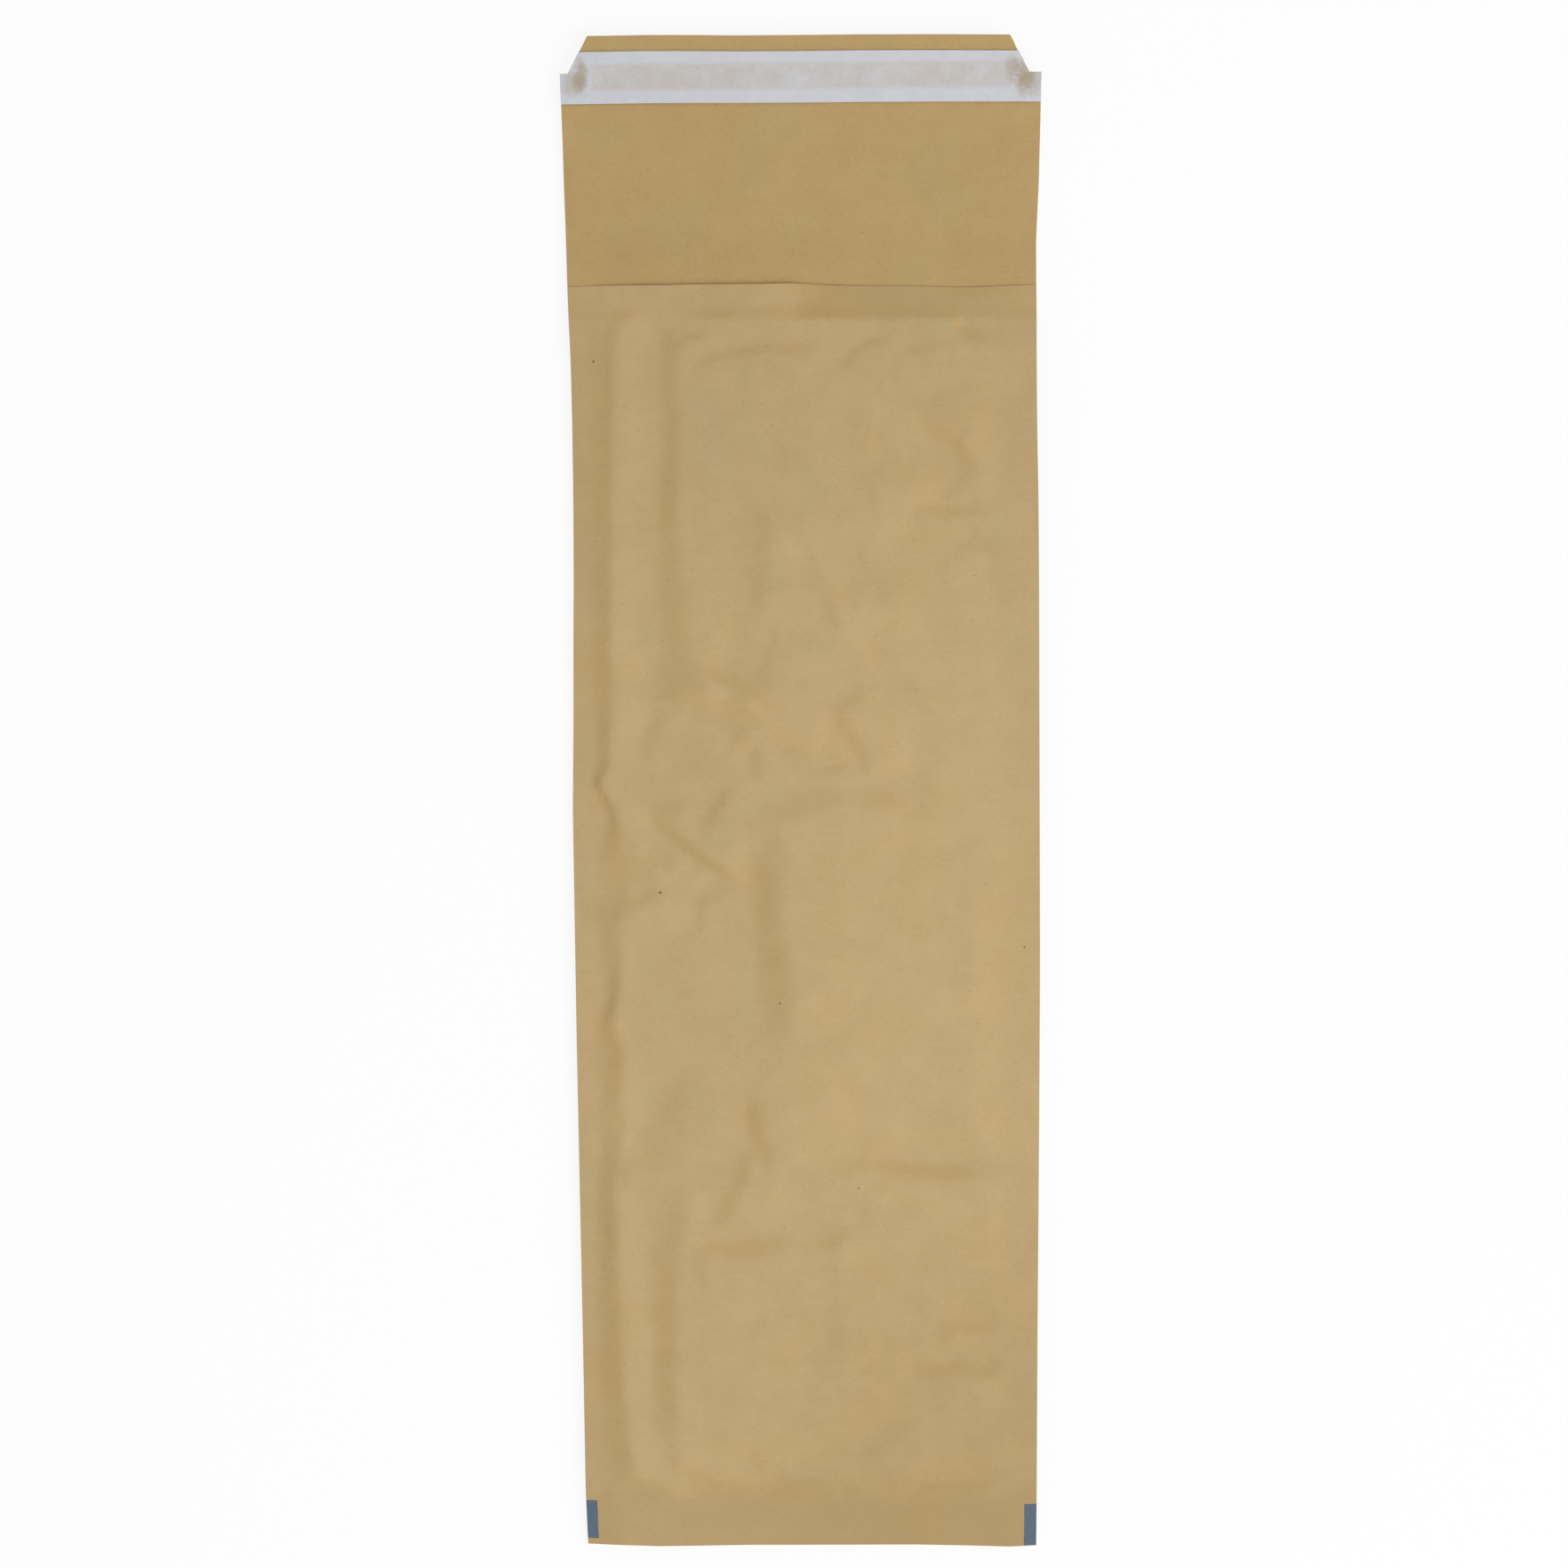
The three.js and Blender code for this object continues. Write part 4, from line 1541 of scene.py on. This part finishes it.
@dataclass
class BubbleLining:
    """The bubble film: a web folded inside the blank, with its bubbles towards the pocket.

    Args:
        bench: The modelling steps and the bag's sizes.
        film: The web's thickness.
        columns: Number of faces across the web.
        step: Length of a face along it.
        pitch: Distance between bubbles.
        bubble_radius: A bubble's radius.
        base_depth: Depth of its base in the web.
        bubble_height: Its height above that.
        reach: How far round each place the film keeps clear of creases.
        sides: Number of a bubble's sides.
        rings: Shares of its radius and height at each ring of its wall.
        base_ring: Share of its radius at the ring in its base.
        start_gap: Room between the first bubbles and the web's first edge.
        end_gap: Room between the last bubbles and its last edge.
        fold_gap: Room between the bubbles and the bare margin at the fold.
        seam_gap: Room between the bubbles and the cut edges.
        decimals: Decimal places that a bubble's points keep.
        finish: The film's finish.
    """

    bench: Workbench
    film: float = 0.09
    columns: int = 80
    step: float = 3.0
    pitch: float = 10.8
    bubble_radius: float = 4.9
    base_depth: float = 0.24
    bubble_height: float = 1.9
    reach: float = 2.2
    sides: int = 10
    rings: tuple[Point, ...] = ((0.96, 0.45), (0.82, 0.8), (0.45, 0.97))
    base_ring: float = 0.55
    start_gap: float = 0.8
    end_gap: float = 0.5
    fold_gap: float = 6.0
    seam_gap: float = 11.0
    decimals: int = 5
    finish: FilmFinish = FilmFinish()

    def build(self) -> bpy.types.Object:
        """Makes the piece.

        Returns:
            The folded lining.
        """
        form = self.bench.form
        low = form.length - form.pocket + form.lip_margin
        high = form.blank_length - form.lip_margin
        lines = np.linspace(low, high, round((high - low) / self.step) + 1)
        web = self.bench.grid("bubble_lining.film", self.columns, lines)
        self._fold(web)
        self.bench.thicken(web, self.film)
        bubbles = self._bubbles(low, high)
        self.bench.pick(web, bubbles)
        bpy.ops.object.join()
        self.bench.dress(web, self.finish.make())
        bpy.ops.object.shade_smooth_by_angle(angle=SMOOTH_ANGLE)
        self.bench.seat(web, "bubble_lining", "film")
        return web

    def _fold(self, piece: bpy.types.Object) -> None:
        """Folds flat film, with the height of its bubbles, into the bag.

        Args:
            piece: The flat film or its bubbles.
        """
        form = self.bench.form
        flat = self.bench.read(piece) / MM
        inset = form.paper + form.fit
        squeezed = self._around_fold(flat[:, 1])
        places = form.wrap(flat[:, 0], squeezed, inset, flat[:, 2], self.reach)
        self.bench.write(piece, places * MM)

    def _around_fold(self, v: np.ndarray) -> np.ndarray:
        """Moves the film's own fold up from the paper's, by the bare margin.

        Args:
            v: Places along the flat web.

        Returns:
            The places, none of them in the bare margin.
        """
        form = self.bench.form
        turned = v - form.length
        bare = form.fold_margin - form.film_fold
        return form.length + np.sign(turned) * np.maximum(np.abs(turned), bare)

    def _bubbles(self, low: float, high: float) -> bpy.types.Object:
        """Models one bubble, copies it over the flat web and folds the copies.

        Args:
            low: Where the web starts.
            high: Where it ends.

        Returns:
            All the bubbles as one object.
        """
        one = self._bubble()
        base, faces = self._in_order(one)
        bpy.data.objects.remove(one)
        row = self.pitch * math.sqrt(3) / 2
        beside = math.ceil(self.bench.form.half / self.pitch)
        points: list[np.ndarray] = []
        polygons: list[tuple[int, ...]] = []
        for j in range(int((high - low) / row)):
            v = low + self.bubble_radius + self.start_gap + j * row
            for i in range(-beside, beside + 1):
                x = (i + 0.5 * (j % 2)) * self.pitch
                if not self._has_room(x, v, high):
                    continue
                shift = sum(len(p) for p in points)
                points.append(base + np.array([x, v, 0.0]))
                polygons.extend(tuple(k + shift for k in face) for face in faces)
        mesh = bpy.data.meshes.new("bubbles")
        mesh.from_pydata(np.concatenate(points) * MM, [], polygons)
        piece = bpy.data.objects.new("bubbles", mesh)
        bpy.context.scene.collection.objects.link(piece)
        self._fold(piece)
        return piece

    def _in_order(self, one: bpy.types.Object) -> tuple[np.ndarray, list[tuple[int, ...]]]:
        """Reads the bubble in order of place, because edit mode can number it anew in each run.

        Args:
            one: The modelled bubble.

        Returns:
            The points, and the points of each face.
        """
        points = np.round(self.bench.read(one) / MM, self.decimals)
        order = np.lexsort(points.T)
        rank = np.argsort(order)
        faces: list[tuple[int, ...]] = []
        for face in one.data.polygons:
            ring = [int(rank[k]) for k in face.vertices]
            # A quad starts at one end of the diagonal that divides it
            starts = range(0, len(ring), 2 if len(ring) == 4 else 1)
            start = min(starts, key=ring.__getitem__)
            faces.append((*ring[start:], *ring[:start]))
        return points[order], sorted(faces)

    def _has_room(self, x: float, v: float, high: float) -> bool:
        """Says whether a bubble fits clear of the seams, the fold and the cut edges.

        Args:
            x: The bubble's place across the web.
            v: Its place along the web.
            high: Where the web ends.

        Returns:
            Whether it fits.
        """
        form, radius = self.bench.form, self.bubble_radius
        off_fold = abs(v - form.length) > form.fold_margin + self.fold_gap + radius
        off_seams = abs(x) < form.half - self.seam_gap - radius
        return off_fold and off_seams and v + radius < high - self.end_gap

    def _bubble(self) -> bpy.types.Object:
        """Models one flat-topped bubble from a disc.

        Returns:
            The bubble, at the origin.
        """
        tall = self.bubble_height
        bpy.ops.object.select_all(action="DESELECT")
        bpy.ops.mesh.primitive_circle_add(
            vertices=self.sides,
            radius=self.bubble_radius * MM,
            fill_type="NGON",
            location=(0.0, 0.0, self.base_depth * MM),
        )
        piece = bpy.context.object
        bpy.ops.object.transform_apply(location=True)
        bpy.ops.object.mode_set(mode="EDIT")
        width, height = 1.0, 0.0
        for share, rise in self.rings:
            bpy.ops.mesh.extrude_region_move(
                TRANSFORM_OT_translate={"value": (0.0, 0.0, (rise - height) * tall * MM)}
            )
            bpy.ops.transform.resize(value=(share / width, share / width, 1.0))
            width, height = share, rise
        bpy.ops.mesh.extrude_region_move(
            TRANSFORM_OT_translate={"value": (0.0, 0.0, (1.0 - height) * tall * MM)}
        )
        bpy.ops.mesh.merge(type="CENTER")
        self._divide_base(piece)
        return piece

    def _divide_base(self, piece: bpy.types.Object) -> None:
        """Adds a base of two rings, which can follow a crease, to the bubble.

        The disc's own face stays hidden under the rings, where it isn't needed.

        Args:
            piece: The bubble, in edit mode.
        """
        bpy.ops.mesh.select_all(action="DESELECT")
        bpy.ops.object.mode_set(mode="OBJECT")
        floor = self.base_depth * MM + 1e-6
        for vertex in piece.data.vertices:
            vertex.select = vertex.co.z < floor
        bpy.ops.object.mode_set(mode="EDIT")
        bpy.ops.mesh.select_mode(type="VERT")
        bpy.ops.mesh.extrude_edges_move()
        bpy.ops.transform.resize(value=(self.base_ring, self.base_ring, 1.0))
        bpy.ops.mesh.extrude_edges_move()
        bpy.ops.mesh.merge(type="CENTER")
        bpy.ops.mesh.select_all(action="SELECT")
        bpy.ops.mesh.normals_make_consistent(inside=False)
        bpy.ops.object.mode_set(mode="OBJECT")


@dataclass
class Closure:
    """The flap's closure: a strip of adhesive and the release liner over it.

    Args:
        bench: The modelling steps and the bag's sizes.
        wave: Waves of the liner and the adhesive.
        wave_run: Distance from a strip's middle line at which they are at their full height.
        bead_columns: Number of faces across the adhesive.
        bead_rows: Number of faces along it.
        strip_columns: Number of faces across the liner.
        strip_rows: Numbers of faces along it, below the die's shoulder and above it.
        bead_finish: The adhesive's finish.
        strip_finish: The liner's finish.
    """

    bench: Workbench
    wave: Ripple = Ripple(0.035, 9.0, 30.0, 71)
    wave_run: float = 8.0
    bead_columns: int = 90
    bead_rows: int = 8
    strip_columns: int = 150
    strip_rows: tuple[int, int] = (8, 6)
    bead_finish: GlueFinish = GlueFinish()
    strip_finish: LinerFinish = LinerFinish()

    def build(self) -> list[bpy.types.Object]:
        """Makes both pieces.

        Returns:
            The adhesive and the liner.
        """
        return [self._adhesive(), self._liner()]

    def _lay(self, piece: bpy.types.Object, height: float, squeeze: float) -> None:
        """Lays a flat strip on the flap's inner face.

        Args:
            piece: The strip, flat, with its places along the bag.
            height: Height of its upper face above the paper.
            squeeze: Share of the bag's width that it takes up.
        """
        form = self.bench.form
        flat = self.bench.read(piece) / MM
        x, y = flat[:, 0] * squeeze, flat[:, 1]
        lift = height + self.wave.at(x, y) * ramp(np.abs(y - y.mean()), 0.0, self.wave_run)
        z = form.back(x, y) + form.paper + lift
        laid = y + form.end_shift(x, y)
        self.bench.write(piece, np.stack([form.drawn_in(x, laid), laid, z], axis=1) * MM)

    def _adhesive(self) -> bpy.types.Object:
        """Makes the adhesive strip.

        Returns:
            The strip.
        """
        form = self.bench.form
        start = form.liner_start + (form.liner_width - form.glue_width) / 2
        lines = np.linspace(start, start + form.glue_width, self.bead_rows + 1)
        piece = self.bench.grid("adhesive_strip.bead", self.bead_columns, lines)
        self._lay(piece, form.fit + form.glue, 1.0 - form.glue_end_inset / form.half)
        self.bench.dress(piece, self.bead_finish.make())
        self.bench.thicken(piece, form.glue)
        self.bench.seat(piece, "adhesive_strip", "adhesive")
        return piece

    def _liner(self) -> bpy.types.Object:
        """Makes the release liner.

        Returns:
            The liner.
        """
        form = self.bench.form
        end = form.length / 2
        shoulder = end - form.cut_height
        low, high = form.liner_start, form.liner_start + form.liner_width
        below, above = self.strip_rows
        lower, upper = np.linspace(low, shoulder, below + 1), np.linspace(shoulder, high, above + 1)
        lines = np.concatenate([lower[:-1], upper])
        piece = self.bench.grid("release_liner.strip", self.strip_columns, lines)
        self.bench.die_cut(piece, end, -1.0)
        self._lay(piece, 2 * form.fit + form.glue + form.liner, 1.0)
        self.bench.dress(piece, self.strip_finish.make(form))
        self.bench.thicken(piece, form.liner)
        self.bench.seat(piece, "release_liner", "liner")
        return piece


@dataclass
class Studio:
    """A pale table under soft light, and the camera that looks down on it.

    Args:
        floor_tone: The table's colour.
        floor_rough: Its roughness.
        backdrop: Share of plain white that the camera sees in it.
        table_size: Its side, in metres.
        sky: Strength of the light from all round.
        key_power: Power of the lamp, in watts.
        key_place: The lamp's place, in metres.
        key_size: Its diameter, in metres.
        camera_place: The camera's place.
        camera_turn: Its rotation, in degrees.
        lens: Its focal length.
        sensor: Its sensor's width.
    """

    floor_tone: Colour = (0.93, 0.93, 0.93, 1.0)
    floor_rough: float = 0.9
    backdrop: float = 0.88
    table_size: float = 60.0
    sky: float = 0.64
    key_power: float = 8.6
    key_place: tuple[float, float, float] = (0.72, -0.44, 1.08)
    key_size: float = 1.0
    camera_place: tuple[float, float, float] = (4.07, 72.01, 650.0)
    camera_turn: tuple[float, float, float] = (-5.705, 0.817, -0.426)
    lens: float = 57.67
    sensor: float = 36.0

    def build(self) -> None:
        """Sets up the table, the light and the camera."""
        self._table()
        self._light()
        self._camera()
        bpy.context.scene.view_settings.view_transform = "Standard"

    def _table(self) -> None:
        """Lays the table under the bag."""
        bpy.ops.object.select_all(action="DESELECT")
        bpy.ops.mesh.primitive_plane_add(size=self.table_size, location=(0.0, 0.0, 0.0))
        table = bpy.context.object
        table.name = "table"
        shader = Shader("table_top")
        material = shader.finish(Base_Color=self.floor_tone, Roughness=self.floor_rough)
        path = shader.node("ShaderNodeLightPath")
        rays = ("Is Camera Ray", "Is Glossy Ray", "Is Transmission Ray")
        camera, glossy, through = (Value(shader, path.outputs[ray]) for ray in rays)
        lit = Value(shader, shader.surface.outputs[0])
        white = Value(shader, shader.node("ShaderNodeEmission").outputs[0])
        share = (camera + glossy + through) * self.backdrop
        blend = shader.node("ShaderNodeMixShader", inputs={0: share, 1: lit, 2: white})
        shader.put(shader.output.inputs["Surface"], Value(shader, blend.outputs[0]))
        Workbench.dress(table, material)

    def _light(self) -> None:
        """Lights the bag from all round, and a little more from the right."""
        scene = bpy.context.scene
        world = bpy.data.worlds.new("studio")
        world.use_nodes = True
        background = world.node_tree.nodes["Background"]
        background.inputs["Color"].default_value = (1.0, 1.0, 1.0, 1.0)
        background.inputs["Strength"].default_value = self.sky
        scene.world = world
        lamp = bpy.data.lights.new("key", "AREA")
        lamp.energy = self.key_power
        lamp.shape = "DISK"
        lamp.size = self.key_size
        key = bpy.data.objects.new("key", lamp)
        key.location = self.key_place
        key.rotation_euler = Vector(self.key_place).to_track_quat("Z", "Y").to_euler()
        scene.collection.objects.link(key)

    def _camera(self) -> None:
        """Puts the camera where the photograph was taken from."""
        lens = bpy.data.cameras.new("camera")
        lens.lens = self.lens
        lens.sensor_width = self.sensor
        lens.clip_start, lens.clip_end = 0.01, 2.0 * self.table_size
        camera = bpy.data.objects.new("camera", lens)
        camera.location = Vector(self.camera_place) * MM
        camera.rotation_euler = Euler([math.radians(a) for a in self.camera_turn], "XYZ")
        bpy.context.scene.collection.objects.link(camera)
        bpy.context.scene.camera = camera


def main() -> None:
    """Builds the bag and its studio, and reports each piece."""
    logging.basicConfig(level=logging.INFO, format="%(message)s")
    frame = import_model()
    LOG.info("packed frame: %d nodes", len(frame["nodes"]))
    bench = Workbench(BagForm())
    for piece in (KraftWrap(bench).build(), BubbleLining(bench).build(), *Closure(bench).build()):
        LOG.info("%s: %d faces", piece.name, len(piece.data.polygons))
    Studio().build()


if __name__ == "__main__":
    main()
